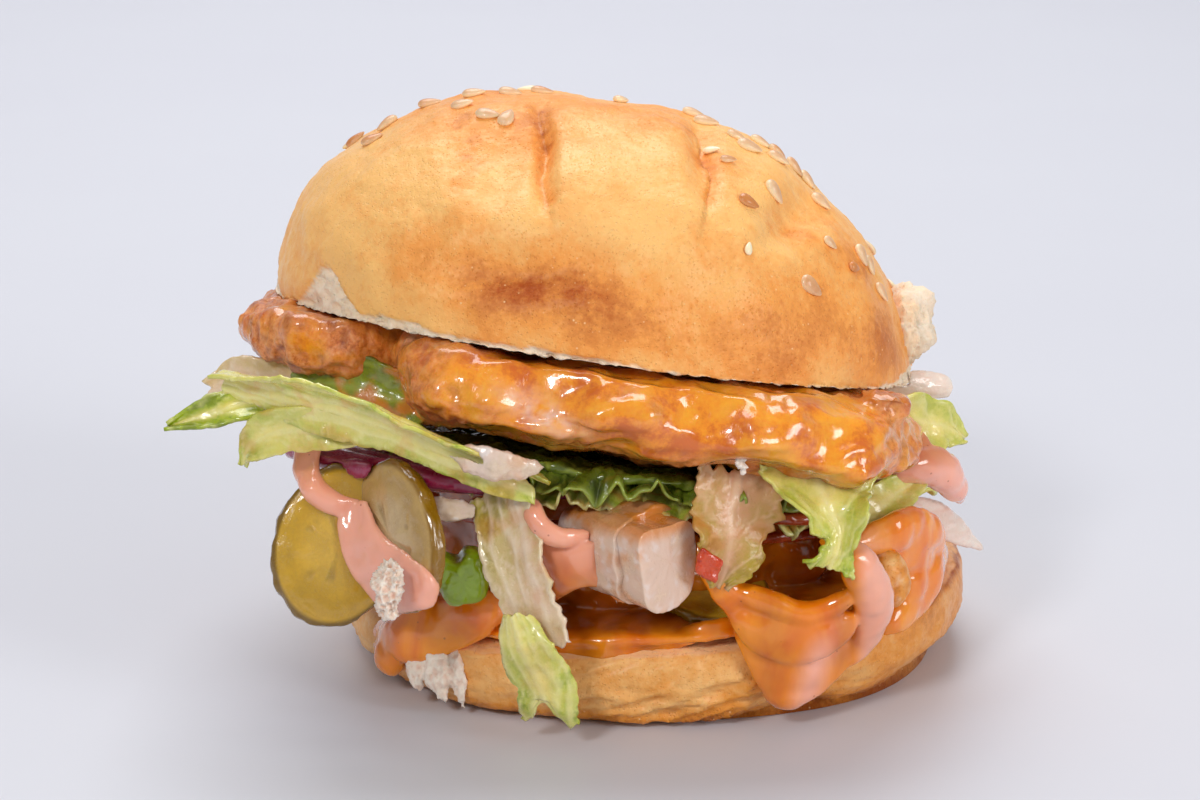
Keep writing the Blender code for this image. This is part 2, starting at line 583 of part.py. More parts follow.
def make_sauces():
    """Thick sauce: ribbons that hang down the fillings and coats over the heel's edge."""
    return [
        strand("sauce_ribbon_left",
               [(-46.8, -42.4, 44.2, 2.6, 1.2), (-48.0, -44.4, 41.0, 3.4, 1.7),
                (-47.0, -46.0, 37.8, 3.6, 1.9), (-43.0, -47.6, 36.2, 3.0, 1.8),
                (-38.6, -48.6, 35.6, 1.8, 1.2)],
               0.0, 10, 11, "pink_sauce"),
        strand("sauce_on_pickles",
               [(-41.0, -47.4, 35.6, 2.2, 1.2), (-40.0, -50.0, 31.2, 4.6, 1.7),
                (-36.0, -51.6, 26.0, 6.4, 2.0), (-32.2, -50.8, 21.0, 5.0, 1.6)],
               0.0, 10, 9, "pink_sauce", blunt=4.0),
        strand("sauce_middle",
               [(-13.4, -42.6, 35.6, 3.4, 1.5), (-11.4, -44.4, 31.2, 5.2, 2.0),
                (-8.6, -44.6, 25.4, 6.2, 2.2), (-5.6, -43.0, 18.6, 5.6, 1.8)],
               0.0, 12, 10, "pink_sauce", blunt=4.0),
        strand("sauce_ribbon_right",
               [(33.0, -30.0, 38.0, 1.8, 1.4), (39.6, -24.0, 36.0, 3.0, 2.0),
                (45.6, -17.4, 32.4, 3.6, 2.3), (49.0, -13.0, 28.0, 2.8, 1.9),
                (47.6, -12.6, 24.0, 1.8, 1.2)],
               0.0, 10, 11, "pink_sauce"),
        strand("sauce_rim",
               [(26.4, -49.2, 27.6, 2.0, 1.6), (30.4, -45.4, 26.4, 2.4, 2.0),
                (34.2, -41.0, 20.6, 2.5, 2.2), (35.0, -38.4, 15.4, 2.5, 2.2),
                (33.6, -38.4, 10.6, 2.4, 2.0), (30.8, -39.8, 6.6, 2.2, 1.8),
                (27.6, -41.0, 4.2, 1.6, 1.4)],
               0.0, 8, 13, "pink_sauce", lump=0.6),
        strand("sauce_arm",
               [(9.6, -47.4, 26.4, 1.8, 1.2), (12.6, -45.0, 22.4, 2.8, 1.7),
                (17.2, -42.8, 17.4, 3.6, 1.9), (21.0, -41.4, 12.4, 2.6, 1.4)],
               0.0, 8, 7, "orange_sauce", lump=0.5),
        coat("sauce_apron", math.radians(-64), 0.31, 1.1, -0.30, 2.0, "pink_sauce", 22, 9,
             lobes=((-0.95, 0.3, 0.35), (0.95, 0.3, 0.25)), lip=2.4),
        coat("sauce_drip_left", math.radians(-136), 0.38, 1.1, 0.18, 2.0, "orange_sauce", 24, 8,
             lobes=((-0.38, 0.28, -0.48),), lip=4.0, lip_slope=4.5),
        coat("sauce_right", math.radians(-27), 0.40, 1.1, -0.12, 1.4, "orange_sauce", 22, 8,
             lobes=((-0.2, 0.35, -0.16), (0.75, 0.3, -0.1)), lip=4.5),
        coat("sauce_drip_back", math.radians(112), 0.24, 1.1, 0.1, 1.6, "orange_sauce", 18, 8,
             lobes=((0.2, 0.35, -0.36),), lip=3.0),
    ]


def baked(obj):
    """Applies the object's modifiers, and drops any loose scrap that a cut left."""
    graph = bpy.context.evaluated_depsgraph_get()
    mesh = bpy.data.meshes.new_from_object(obj.evaluated_get(graph))
    obj.modifiers.clear()
    obj.data = mesh
    bm = bmesh.new()
    bm.from_mesh(mesh)
    bmesh.ops.remove_doubles(bm, verts=bm.verts, dist=0.02 * MM)
    bmesh.ops.dissolve_degenerate(bm, edges=bm.edges, dist=0.02 * MM)
    islands = face_islands(bm)
    largest = max(islands, key=len)
    scraps = [face for island in islands if island is not largest for face in island]
    bmesh.ops.delete(bm, geom=scraps, context="FACES")
    bmesh.ops.dissolve_limit(bm, angle_limit=math.radians(FLAT_ENOUGH), verts=bm.verts, edges=bm.edges)
    bmesh.ops.triangulate(bm, faces=bm.faces)
    bm.to_mesh(mesh)
    bm.free()
    mesh.shade_smooth()
    return obj


def face_islands(bm):
    """The bmesh's faces as lists that hang together."""
    waiting = set(bm.faces)
    islands = []
    while waiting:
        island, edge = [], [waiting.pop()]
        while edge:
            face = edge.pop()
            island.append(face)
            near = {link for side in face.edges for link in side.link_faces} & waiting
            waiting -= near
            edge.extend(near)
        islands.append(island)
    return islands


def fused(obj, others):
    """Joins the others onto the object with one union, then removes them."""
    group = bpy.data.collections.new(f"fused_to_{obj.name}")
    for other in others:
        bpy.context.scene.collection.objects.unlink(other)
        group.objects.link(other)
    bpy.context.scene.collection.children.link(group)
    union = obj.modifiers.new("union", "BOOLEAN")
    union.operation = "UNION"
    union.operand_type = "COLLECTION"
    union.collection = group
    baked(obj)
    for other in others:
        bpy.data.objects.remove(other)
    bpy.data.collections.remove(group)
    return obj


def bounds_meet(first, second):
    """True if the two objects' boxes come within a gap of each other."""
    near = []
    for obj in (first, second):
        points = [vert.co for vert in obj.data.vertices]
        near.append([(min(p[i] for p in points), max(p[i] for p in points)) for i in range(3)])
    return all(a[0] - GAP * MM < b[1] and b[0] - GAP * MM < a[1] for a, b in zip(*near))


def tree_of(obj, swell=0.0):
    """The object's surface for distance and crossing tests, swollen by so many millimetres."""
    points = [vert.co + vert.normal * swell * MM for vert in obj.data.vertices]
    return BVHTree.FromPolygons(points, [face.vertices[:] for face in obj.data.polygons])


def cut_clear(obj, others):
    """Cuts the object back so that it keeps a gap from the others."""
    for other in others:
        if not bounds_meet(obj, other):
            continue
        if not tree_of(obj).overlap(tree_of(other, 0.3 * GAP)):
            continue
        cutter = other.copy()
        cutter.data = other.data.copy()
        cutter.name = "cutter"
        bpy.context.scene.collection.objects.link(cutter)
        for vert, normal in zip(cutter.data.vertices, [v.normal.copy() for v in other.data.vertices]):
            vert.co += normal * GAP * MM
        cut = obj.modifiers.new("cut", "BOOLEAN")
        cut.operation = "DIFFERENCE"
        cut.object = cutter
        baked(obj)
        bpy.data.objects.remove(cutter)
    return obj


def main():
    for obj in list(bpy.data.objects):
        bpy.data.objects.remove(obj)
    firm = [make_crown(), make_heel()]
    loose = make_chicken() + make_pickles() + make_leaves() + make_small_pieces()
    loose += make_back_leaves() + make_fillings() + make_sauces()
    placed = list(firm)
    for obj in loose:
        placed.append(cut_clear(obj, placed))


main()
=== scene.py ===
"""The looks of a stacked chicken burger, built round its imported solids.

Sizes in this file are in millimetres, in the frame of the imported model, and become metres as each
piece is finished. +Z is up and -Y is the front.
"""

import logging
from collections.abc import Callable, Iterable, Sequence
from dataclasses import dataclass, field
from enum import Enum
from math import asin, atan2, copysign, cos, exp, hypot, pi, radians, sin, sqrt

import bmesh
import bpy
from mathutils import Matrix, Vector, noise
from mathutils.bvhtree import BVHTree


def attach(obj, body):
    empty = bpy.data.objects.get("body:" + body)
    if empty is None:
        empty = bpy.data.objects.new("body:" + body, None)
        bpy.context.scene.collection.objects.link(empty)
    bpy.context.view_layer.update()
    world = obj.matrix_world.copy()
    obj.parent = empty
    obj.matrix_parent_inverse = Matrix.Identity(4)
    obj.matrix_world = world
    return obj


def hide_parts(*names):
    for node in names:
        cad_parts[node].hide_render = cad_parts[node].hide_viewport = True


LOG = logging.getLogger("burger")
MM = 0.001
GAP = 0.35

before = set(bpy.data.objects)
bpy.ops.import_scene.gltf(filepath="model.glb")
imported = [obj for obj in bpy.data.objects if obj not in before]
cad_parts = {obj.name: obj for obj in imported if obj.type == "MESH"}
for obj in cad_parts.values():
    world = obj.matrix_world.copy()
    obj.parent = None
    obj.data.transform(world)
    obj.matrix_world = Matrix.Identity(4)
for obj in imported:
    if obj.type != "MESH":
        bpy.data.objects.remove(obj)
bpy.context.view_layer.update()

# The bun's and the fillings' driving sizes, as in the solids
CROWN_CENTRE = Vector((-7, 0, 0))
CROWN_RADIUS_X, CROWN_RADIUS_Y, CROWN_RISE = 49, 47, 37.3
CROWN_FLOOR, CROWN_FALL_RIGHT, CROWN_FALL_BACK = 46.9, 0.147, 0.170
HEEL_CENTRE = Vector((2.5, 0, 0))
HEEL_RADIUS_X, HEEL_RADIUS_Y = 47.5, 45.5
HEEL_TOP, HEEL_BELLY, HEEL_FOOT = 13.4, 7.6, 0.62
FILLET_THICKNESS = 13
SEED_LENGTH, SEED_WIDTH, SEED_HEIGHT = 3.6, 2.1, 1.3
SEED_TURNS, SEED_LOWEST = 62, 20

# The photograph's view
PHOTO_WIDTH, PHOTO_HEIGHT = 1200, 800
VIEW_TARGET = Vector((-6.2, 0, 37.5))
VIEW_ELEVATION, VIEW_DISTANCE = radians(16), 520
MM_PER_PIXEL = 0.155
SENSOR_WIDTH = 36

Rule = Callable[[Vector, Vector], float]
Colour = tuple[float, float, float, float]
Triple = tuple[float, float, float]
Mesh = bmesh.types.BMesh
Socket = bpy.types.NodeSocket


class Slot(Enum):
    """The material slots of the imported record."""

    CRUST = "crust"
    HEEL_CRUST = "heel_crust"
    CHICKEN = "glazed_chicken"
    LETTUCE = "lettuce"
    DARK_LETTUCE = "dark_lettuce"
    RIB = "lettuce_rib"
    PICKLE = "pickle"
    RED_ONION = "red_onion"
    PALE_ONION = "pale_onion"
    TOMATO = "tomato"
    PEPPER = "pepper"
    CHILLI = "chilli"
    ORANGE_SAUCE = "orange_sauce"
    PINK_SAUCE = "pink_sauce"
    CRUMB = "crumb"


# Form, as in the solids


def crown_floor(x: float, y: float) -> float:
    """Height of the crown's cut face, which tips down to the right and to the back."""
    return CROWN_FLOOR - CROWN_FALL_RIGHT * x - CROWN_FALL_BACK * y


def heel_top(x: float, y: float) -> float:
    """Height of the heel's cut face, a shallow dish that stands higher on the right."""
    dx, dy = x - HEEL_CENTRE.x, y - HEEL_CENTRE.y
    dish = 1.6 * ((dx * dx + dy * dy) / HEEL_RADIUS_X**2 - 0.5)
    return HEEL_TOP + 0.055 * dx + dish


def level(x: float, y: float, share: float) -> float:
    """Height at a share of the way from the heel's top up to the fillet's underside."""
    low = heel_top(x, y) + GAP
    high = crown_floor(x, y) - FILLET_THICKNESS - 3 * GAP
    return low + share * (high - low)


def superellipse(theta: float, radius_x: float, radius_y: float, power: float) -> float:
    """Radius of a rounded oval outline in direction theta."""
    across = abs(cos(theta) / radius_x) ** power
    along = abs(sin(theta) / radius_y) ** power
    return (across + along) ** (-1 / power)


def signed_power(value: float, power: float) -> float:
    """The value's size to a power, with its sign kept."""
    return copysign(abs(value) ** power, value)


def uneven(theta: float, seed: float, amount: float) -> float:
    """A slow closed wave round an outline."""
    waves = (2, 3, 5, 8)
    return amount * sum(sin(n * theta + seed * n * 1.7) / n**0.7 for n in waves) / 1.6


def lumps(point: Vector, size: float, amount: float, seed: float = 0) -> float:
    """Rounded lumps of about this size, between minus and plus the amount."""
    return amount * noise.noise(point / size + Vector((seed, 2.3 * seed, -seed)))


def rough(point: Vector, size: float, amount: float, seed: float = 0, octaves: int = 4) -> float:
    """Lumps upon lumps, the largest of about this size."""
    return amount * noise.fractal(point / size + Vector((seed, -seed, 1.7 * seed)), 0.9, 2.1, octaves)


def bubbles(point: Vector, size: float, seed: float = 0) -> float:
    """0 at the middle of a bubble in bread crumb, and 1 on the walls between bubbles."""
    near = noise.voronoi(point / size + Vector((seed, seed, seed)))[0]
    return min(1, (near[0] / max(near[1], 1e-6)) ** 1.5)


def hump(value: float, centre: float, width: float) -> float:
    """A bell curve that is 1 at its centre."""
    return exp(-(((value - centre) / width) ** 2))


def ease(value: float, low: float, high: float) -> float:
    """0 below low and 1 above high, with a soft change between."""
    t = min(1, max(0, (value - low) / (high - low)))
    return t * t * (3 - 2 * t)


def toward(theta: float, degrees: float, width: float) -> float:
    """1 in this direction, and falling away to both sides of it."""
    turn = (theta - radians(degrees) + pi) % (2 * pi) - pi
    return hump(turn, 0, width)


def curve_at(points: Sequence[Sequence[float]], t: float) -> list[float]:
    """A smooth curve through the points, at t from 0 to 1.

    Args:
        points: the places it passes, each with any further values, such as a width.
        t: how far along it to read.

    Returns:
        The values there.
    """
    spans = len(points) - 1
    i = min(int(t * spans), spans - 1)
    f = t * spans - i
    a, b = points[i], points[i + 1]
    before = points[i - 1] if i > 0 else [2 * p - q for p, q in zip(a, b)]
    after = points[i + 2] if i + 2 <= spans else [2 * q - p for p, q in zip(a, b)]
    return [
        0.5 * (2 * q + (r - p) * f + (2 * p - 5 * q + 4 * r - s) * f**2 + (3 * q - p - 3 * r + s) * f**3)
        for p, q, r, s in zip(before, a, b, after)
    ]


def frame_at(points: Sequence[Sequence[float]], t: float, roll: float) -> tuple[Vector, Vector, Vector]:
    """Where a strip is at t, and how it is turned.

    Args:
        points: the strip's spine.
        t: how far along it, from 0 to 1.
        roll: its turn about its own run, in radians.

    Returns:
        The point, the direction of its width and the direction that it faces.
    """
    step = 0.02
    here = Vector(curve_at(points, t)[:3])
    ahead = Vector(curve_at(points, min(1, t + step))[:3])
    behind = Vector(curve_at(points, max(0, t - step))[:3])
    run = (ahead - behind).normalized()
    out = Vector((here.x - 5, here.y, 0)).normalized()
    across = run.cross(out).normalized()
    turned = across * cos(roll) + across.cross(run) * sin(roll)
    return here, turned, turned.cross(run).normalized()


# Meshes


def ball(segments: int, rings: int, place: Callable[[float, float], Vector]) -> Mesh:
    """A closed skin.

    Args:
        segments: points round it.
        rings: points from its top to its bottom.
        place: where the point at (theta, phi) of a sphere goes.

    Returns:
        The mesh, in millimetres.
    """
    bm = bmesh.new()
    bmesh.ops.create_uvsphere(bm, u_segments=segments, v_segments=rings, radius=1)
    for vert in bm.verts:
        theta = atan2(vert.co.y, vert.co.x)
        phi = asin(max(-1, min(1, vert.co.z)))
        vert.co = place(theta, phi)
    bmesh.ops.recalc_face_normals(bm, faces=bm.faces)
    return bm


def strand(spine: Sequence[Sequence[float]], roll: float, segments: int, rings: int,
           blunt: float = 6) -> Mesh:
    """A fat run along a spine of (x, y, z, half width, half thickness), in millimetres."""

    def place(theta: float, phi: float) -> Vector:
        """A point of the run's skin."""
        t = 0.5 + 0.5 * sin(phi)
        here, across, out = frame_at(spine, t, radians(roll))
        half, thick = curve_at(spine, t)[3:5]
        taper = (1 - abs(sin(phi)) ** blunt) ** 0.5
        return here + (across * half * cos(theta) + out * thick * sin(theta)) * taper

    return ball(segments, rings, place)


def cad_copy(node: str) -> Mesh:
    """A merged copy of a solid's mesh, in millimetres."""
    bm = bmesh.new()
    bm.from_mesh(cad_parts[node].data)
    bmesh.ops.scale(bm, vec=(1 / MM, 1 / MM, 1 / MM), verts=bm.verts)
    bmesh.ops.remove_doubles(bm, verts=bm.verts, dist=0.01)
    return bm


def joined(parts: Iterable[Mesh]) -> Mesh:
    """The parts as one mesh, with their skins still apart."""
    whole = bmesh.new()
    for part in parts:
        mesh = bpy.data.meshes.new("part")
        part.to_mesh(mesh)
        part.free()
        whole.from_mesh(mesh)
        bpy.data.meshes.remove(mesh)
    return whole


def skinned(bm: Mesh, cell: float, rounds: int = 2) -> Mesh:
    """One even skin over closed shapes, melted together where they meet.

    Args:
        bm: the shapes, used up by this call.
        cell: the size of the new faces, in millimetres.
        rounds: how often the skin is smoothed.

    Returns:
        The new mesh.
    """
    mesh = bpy.data.meshes.new("skin")
    bm.to_mesh(mesh)
    bm.free()
    obj = bpy.data.objects.new("skin", mesh)
    bpy.context.scene.collection.objects.link(obj)
    cells = obj.modifiers.new("cells", "REMESH")
    cells.mode = "VOXEL"
    cells.voxel_size = cell
    graph = bpy.context.evaluated_depsgraph_get()
    made = bmesh.new()
    made.from_mesh(obj.evaluated_get(graph).data)
    bpy.data.objects.remove(obj)
    bpy.data.meshes.remove(mesh)
    for _ in range(rounds):
        bmesh.ops.smooth_vert(made, verts=made.verts, factor=0.5,
                              use_axis_x=True, use_axis_y=True, use_axis_z=True)
    return made


def carve(bm: Mesh, rule: Rule) -> None:
    """Moves each point out along its normal by what the rule gives for its place and normal."""
    bm.normal_update()
    for vert in bm.verts:
        vert.co += vert.normal * rule(vert.co, vert.normal)


def paint(bm: Mesh, **rules: Rule | float) -> None:
    """Keeps values for each point, which the piece's finish reads by their names."""
    bm.normal_update()
    for name, rule in rules.items():
        layer = bm.verts.layers.float.new(name)
        for vert in bm.verts:
            vert[layer] = rule(vert.co, vert.normal) if callable(rule) else rule


def piece(name: str, bm: Mesh, finish: "Finish", slot: Slot, *nodes: str,
          wall: float = 0) -> bpy.types.Object:
    """Makes a mesh a finished piece of the burger.

    Args:
        name: the piece's name.
        bm: its mesh in millimetres, used up by this call.
        finish: what it is made of.
        slot: not used.
        nodes: the solids that it stands for.
        wall: a thickness for an open sheet, in millimetres.

    Returns:
        The piece.
    """
    bmesh.ops.scale(bm, vec=(MM, MM, MM), verts=bm.verts)
    mesh = bpy.data.meshes.new(name)
    bm.to_mesh(mesh)
    bm.free()
    mesh.materials.append(finish.material())
    mesh.shade_smooth()
    obj = bpy.data.objects.new(name, mesh)
    bpy.context.scene.collection.objects.link(obj)
    if wall:
        thick = obj.modifiers.new("wall", "SOLIDIFY")
        thick.thickness = wall * MM
        thick.offset = 0
    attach(obj, "root")
    if nodes:
        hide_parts(*nodes)
    LOG.info("%s: %d faces", name, len(mesh.polygons))
    return obj


# Finishes


def shade(red: int, green: int, blue: int) -> Colour:
    """A colour as the eye reads it, from 0 to 255, made linear."""
    return tuple(
        value / 12.92 if value <= 0.04045 else ((value + 0.055) / 1.055) ** 2.4
        for value in (red / 255, green / 255, blue / 255)
    ) + (1,)


class Graph:
    """A short way to add and join the nodes of one material or group."""

    def __init__(self, tree: bpy.types.NodeTree) -> None:
        """Starts on a node tree."""
        self.tree = tree

    def feed(self, socket: Socket, value: object) -> None:
        """Links another socket to this one, or sets its value."""
        if isinstance(value, Socket):
            self.tree.links.new(value, socket)
        else:
            socket.default_value = value

    def node(self, kind: str, values: dict | None = None, **settings: object) -> bpy.types.Node:
        """Adds a node.

        Args:
            kind: Blender's name for it.
            values: what its inputs take, by name or number.
            settings: its own properties.

        Returns:
            The node.
        """
        made = self.tree.nodes.new(kind)
        for name, value in settings.items():
            setattr(made, name, value)
        for key, value in (values or {}).items():
            self.feed(made.inputs[key], value)
        return made

    def place(self) -> Socket:
        """The piece's own coordinates, in millimetres."""
        coordinates = self.node("ShaderNodeTexCoord").outputs["Object"]
        mapping = self.node("ShaderNodeMapping", {"Vector": coordinates, "Scale": (1 / MM,) * 3})
        return mapping.outputs["Vector"]

    def stretched(self, vector: Socket, scale: Triple,
                  turn: Triple = (0, 0, 0)) -> Socket:
        """The coordinates, turned and drawn out."""
        mapping = self.node("ShaderNodeMapping", {"Vector": vector, "Scale": scale, "Rotation": turn})
        return mapping.outputs["Vector"]

    def noise(self, vector: Socket, size: float, detail: float = 4,
              roughness: float = 0.55, distortion: float = 0) -> Socket:
        """Cloudy noise from 0 to 1, with its largest forms of about this size."""
        values = {"Vector": vector, "Scale": 1 / size, "Detail": detail, "Roughness": roughness,
                  "Distortion": distortion}
        return self.node("ShaderNodeTexNoise", values).outputs[0]

    def cells(self, vector: Socket, size: float) -> Socket:
        """Distance to the middle of the nearest cell of this size."""
        return self.node("ShaderNodeTexVoronoi", {"Vector": vector, "Scale": 1 / size}).outputs["Distance"]

    def attribute(self, name: str) -> Socket:
        """A value that was painted on the piece's points."""
        return self.node("ShaderNodeAttribute", attribute_name=name).outputs["Fac"]

    def math(self, operation: str, *values: object, clamp: bool = False) -> Socket:
        """One step of arithmetic."""
        return self.node("ShaderNodeMath", dict(enumerate(values)), operation=operation,
                         use_clamp=clamp).outputs[0]

    def spread(self, value: object, low: float, high: float, new_low: float = 0,
               new_high: float = 1) -> Socket:
        """The value moved smoothly from one range to another."""
        values = {"Value": value, "From Min": low, "From Max": high, "To Min": new_low, "To Max": new_high}
        return self.node("ShaderNodeMapRange", values, interpolation_type="SMOOTHSTEP").outputs["Result"]

    def blend(self, share: object, first: object, second: object,
              mode: str = "MIX") -> Socket:
        """A colour between two others."""
        made = self.node("ShaderNodeMix", {0: share, 6: first, 7: second}, data_type="RGBA", blend_type=mode)
        return made.outputs[2]

    def ramp(self, value: object, *stops: tuple[float, Colour]) -> Socket:
        """A colour that changes with a value, through the stops in order."""
        made = self.node("ShaderNodeValToRGB", {0: value})
        elements = made.color_ramp.elements
        for _ in stops[2:]:
            elements.new(0.5)
        for element, (position, colour) in zip(elements, stops):
            element.position = position
            element.color = colour
        return made.outputs["Color"]

    def bump(self, height: object, depth: float, strength: float = 1) -> Socket:
        """The normal of a surface with this relief, where depth is in millimetres."""
        values = {"Height": height, "Distance": depth * MM, "Strength": strength}
        return self.node("ShaderNodeBump", values).outputs["Normal"]

    def group(self, shared: bpy.types.NodeTree, **values: object) -> bpy.types.Node:
        """Places a shared group, with its inputs by name."""
        return self.node("ShaderNodeGroup", values, node_tree=shared)


def shared_group(name: str, inputs: Sequence[tuple[str, str, object]],
                 outputs: Sequence[tuple[str, str]]) -> tuple[bpy.types.NodeTree, Graph, bpy.types.Node]:
    """A new node group with its named sockets.

    Args:
        name: the group's name.
        inputs: each input's name, kind and first value.
        outputs: each output's name and kind.

    Returns:
        The group's tree, its graph and its input node. The output node is named Out.
    """
    tree = bpy.data.node_groups.new(name, "ShaderNodeTree")
    for label, kind, value in inputs:
        socket = tree.interface.new_socket(name=label, in_out="INPUT", socket_type=kind)
        if value is not None:
            socket.default_value = value
    for label, kind in outputs:
        tree.interface.new_socket(name=label, in_out="OUTPUT", socket_type=kind)
    graph = Graph(tree)
    inside = graph.node("NodeGroupInput")
    graph.node("NodeGroupOutput", name="Out")
    return tree, graph, inside


def mottle_group() -> bpy.types.NodeTree:
    """Soft blotches with finer ones in them: a mask that any finish can use for uneven colour."""
    found = bpy.data.node_groups.get("mottle")
    if found:
        return found
    inputs = (("Vector", "NodeSocketVector", None), ("Size", "NodeSocketFloat", 10),
              ("Fine", "NodeSocketFloat", 0.4))
    tree, graph, inside = shared_group("mottle", inputs, (("Mask", "NodeSocketFloat"),))
    scale = graph.math("DIVIDE", 1, inside.outputs["Size"])
    values = {"Vector": inside.outputs["Vector"], "Scale": scale, "Detail": 3, "Roughness": 0.5}
    broad = graph.node("ShaderNodeTexNoise", values).outputs[0]
    finer = graph.math("MULTIPLY", scale, 7)
    values = {"Vector": inside.outputs["Vector"], "Scale": finer, "Detail": 4, "Roughness": 0.65}
    small = graph.math("SUBTRACT", graph.node("ShaderNodeTexNoise", values).outputs[0], 0.5)
    added = graph.math("MULTIPLY_ADD", small, inside.outputs["Fine"], broad)
    graph.feed(tree.nodes["Out"].inputs["Mask"], graph.spread(added, 0.3, 0.7))
    return tree


def grain_group() -> bpy.types.NodeTree:
    """Fine relief in two sizes, for the height of a bump."""
    found = bpy.data.node_groups.get("grain")
    if found:
        return found
    inputs = (("Vector", "NodeSocketVector", None), ("Size", "NodeSocketFloat", 1),
              ("Pits", "NodeSocketFloat", 0.3))
    tree, graph, inside = shared_group("grain", inputs, (("Height", "NodeSocketFloat"),))
    scale = graph.math("DIVIDE", 1, inside.outputs["Size"])
    values = {"Vector": inside.outputs["Vector"], "Scale": scale, "Detail": 5, "Roughness": 0.6}
    wavy = graph.node("ShaderNodeTexNoise", values).outputs[0]
    finer = graph.math("MULTIPLY", scale, 2.2)
    values = {"Vector": inside.outputs["Vector"], "Scale": finer}
    pits = graph.spread(graph.node("ShaderNodeTexVoronoi", values).outputs["Distance"], 0, 0.35)
    graph.feed(tree.nodes["Out"].inputs["Height"],
               graph.math("MULTIPLY_ADD", pits, inside.outputs["Pits"], wavy))
    return tree


@dataclass(frozen=True)
class Finish:
    """What a piece is made of. Each kind dresses its own shader."""

    name: str
    roughness: float = 0.4
    coat: float = 0
    coat_roughness: float = 0.05
    shine: float = 0.5
    glow: float = 0.1
    glow_depth: float = 1.5
    glow_tint: Triple = (1, 0.45, 0.2)

    def material(self) -> bpy.types.Material:
        """The finish's material, made once."""
        made = bpy.data.materials.get(self.name)
        if made is None:
            made = bpy.data.materials.new(self.name)
            made.use_nodes = True
            shader = made.node_tree.nodes["Principled BSDF"]
            shader.inputs["Roughness"].default_value = self.roughness
            shader.inputs["Specular IOR Level"].default_value = self.shine
            shader.inputs["Coat Weight"].default_value = self.coat
            shader.inputs["Coat Roughness"].default_value = self.coat_roughness
            shader.inputs["Subsurface Weight"].default_value = self.glow
            shader.inputs["Subsurface Scale"].default_value = self.glow_depth * MM
            shader.inputs["Subsurface Radius"].default_value = self.glow_tint
            self.dress(Graph(made.node_tree), shader)
        return made

    def dress(self, graph: Graph, shader: bpy.types.Node) -> None:
        """Feeds the shader its changing colour, roughness and relief."""
        raise NotImplementedError


@dataclass(frozen=True)
class Crust(Finish):
    """Baked crust that reads how toasted and how torn each point is; on the crown the toast value also
    carries painted shade in the middle dent and along the creases.
    """

    light: Colour = shade(255, 196, 118)
    golden: Colour = shade(246, 162, 78)
    toasted: Colour = shade(178, 80, 16)
    open_crumb: Colour = shade(255, 244, 226)
    speck: Colour = shade(255, 214, 158)

    def dress(self, graph: Graph, shader: bpy.types.Node) -> None:
        """Toasted blotches, fine pale specks, and open crumb where the crust is torn."""
        place = graph.place()
        toast, torn = graph.attribute("toast"), graph.attribute("torn")
        blotch = graph.group(mottle_group(), Vector=place, Size=9, Fine=0.9).outputs["Mask"]
        fine = graph.noise(place, 0.7, 4, 0.7)
        browned = graph.math("MULTIPLY_ADD", graph.math("SUBTRACT", blotch, 0.5), 0.22, toast)
        browned = graph.math("MULTIPLY_ADD", graph.math("SUBTRACT", fine, 0.5),
                             graph.spread(toast, 0.2, 0.8, 0.12, 0.42), browned)
        colour = graph.ramp(browned, (0.05, self.light), (0.45, self.golden), (0.98, self.toasted))
        specks = graph.spread(graph.cells(place, 1.3), 0.05, 0.16, 1, 0)
        few = graph.math("MULTIPLY", graph.spread(graph.noise(place, 3, 2), 0.42, 0.56),
                         graph.spread(toast, 0.15, 0.6, 0.15, 0.8))
        colour = graph.blend(graph.math("MULTIPLY", specks, few), colour, self.speck)
        crumb = graph.blend(graph.noise(place, 0.8), self.open_crumb, shade(238, 206, 170))
        graph.feed(shader.inputs["Base Color"], graph.blend(torn, colour, crumb))
        gloss = graph.spread(blotch, 0, 1, self.roughness - 0.06, self.roughness + 0.10)
        graph.feed(shader.inputs["Roughness"], graph.math("MULTIPLY_ADD", torn, 0.35, gloss))
        relief = graph.group(grain_group(), Vector=place, Size=1.2, Pits=0.5).outputs["Height"]
        graph.feed(shader.inputs["Normal"], graph.bump(relief, 0.30, 0.7))


@dataclass(frozen=True)
class Crumb(Finish):
    """The open inside of bread, pale and full of small holes."""

    pale: Colour = shade(255, 240, 224)
    # deep is the painted shade colour in the crumb's holes.
    deep: Colour = shade(222, 160, 128)

    def dress(self, graph: Graph, shader: bpy.types.Node) -> None:
        """Painted shade in the hollows between pale walls."""
        place = graph.place()
        hollow = graph.attribute("hollow")
        fine = graph.noise(place, 0.7, 4, 0.7)
        share = graph.math("MULTIPLY_ADD", graph.math("SUBTRACT", fine, 0.5), 0.25, hollow, clamp=True)
        graph.feed(shader.inputs["Base Color"], graph.blend(share, self.pale, self.deep))
        relief = graph.group(grain_group(), Vector=place, Size=0.7, Pits=0.8).outputs["Height"]
        graph.feed(shader.inputs["Normal"], graph.bump(relief, 0.25, 0.8))


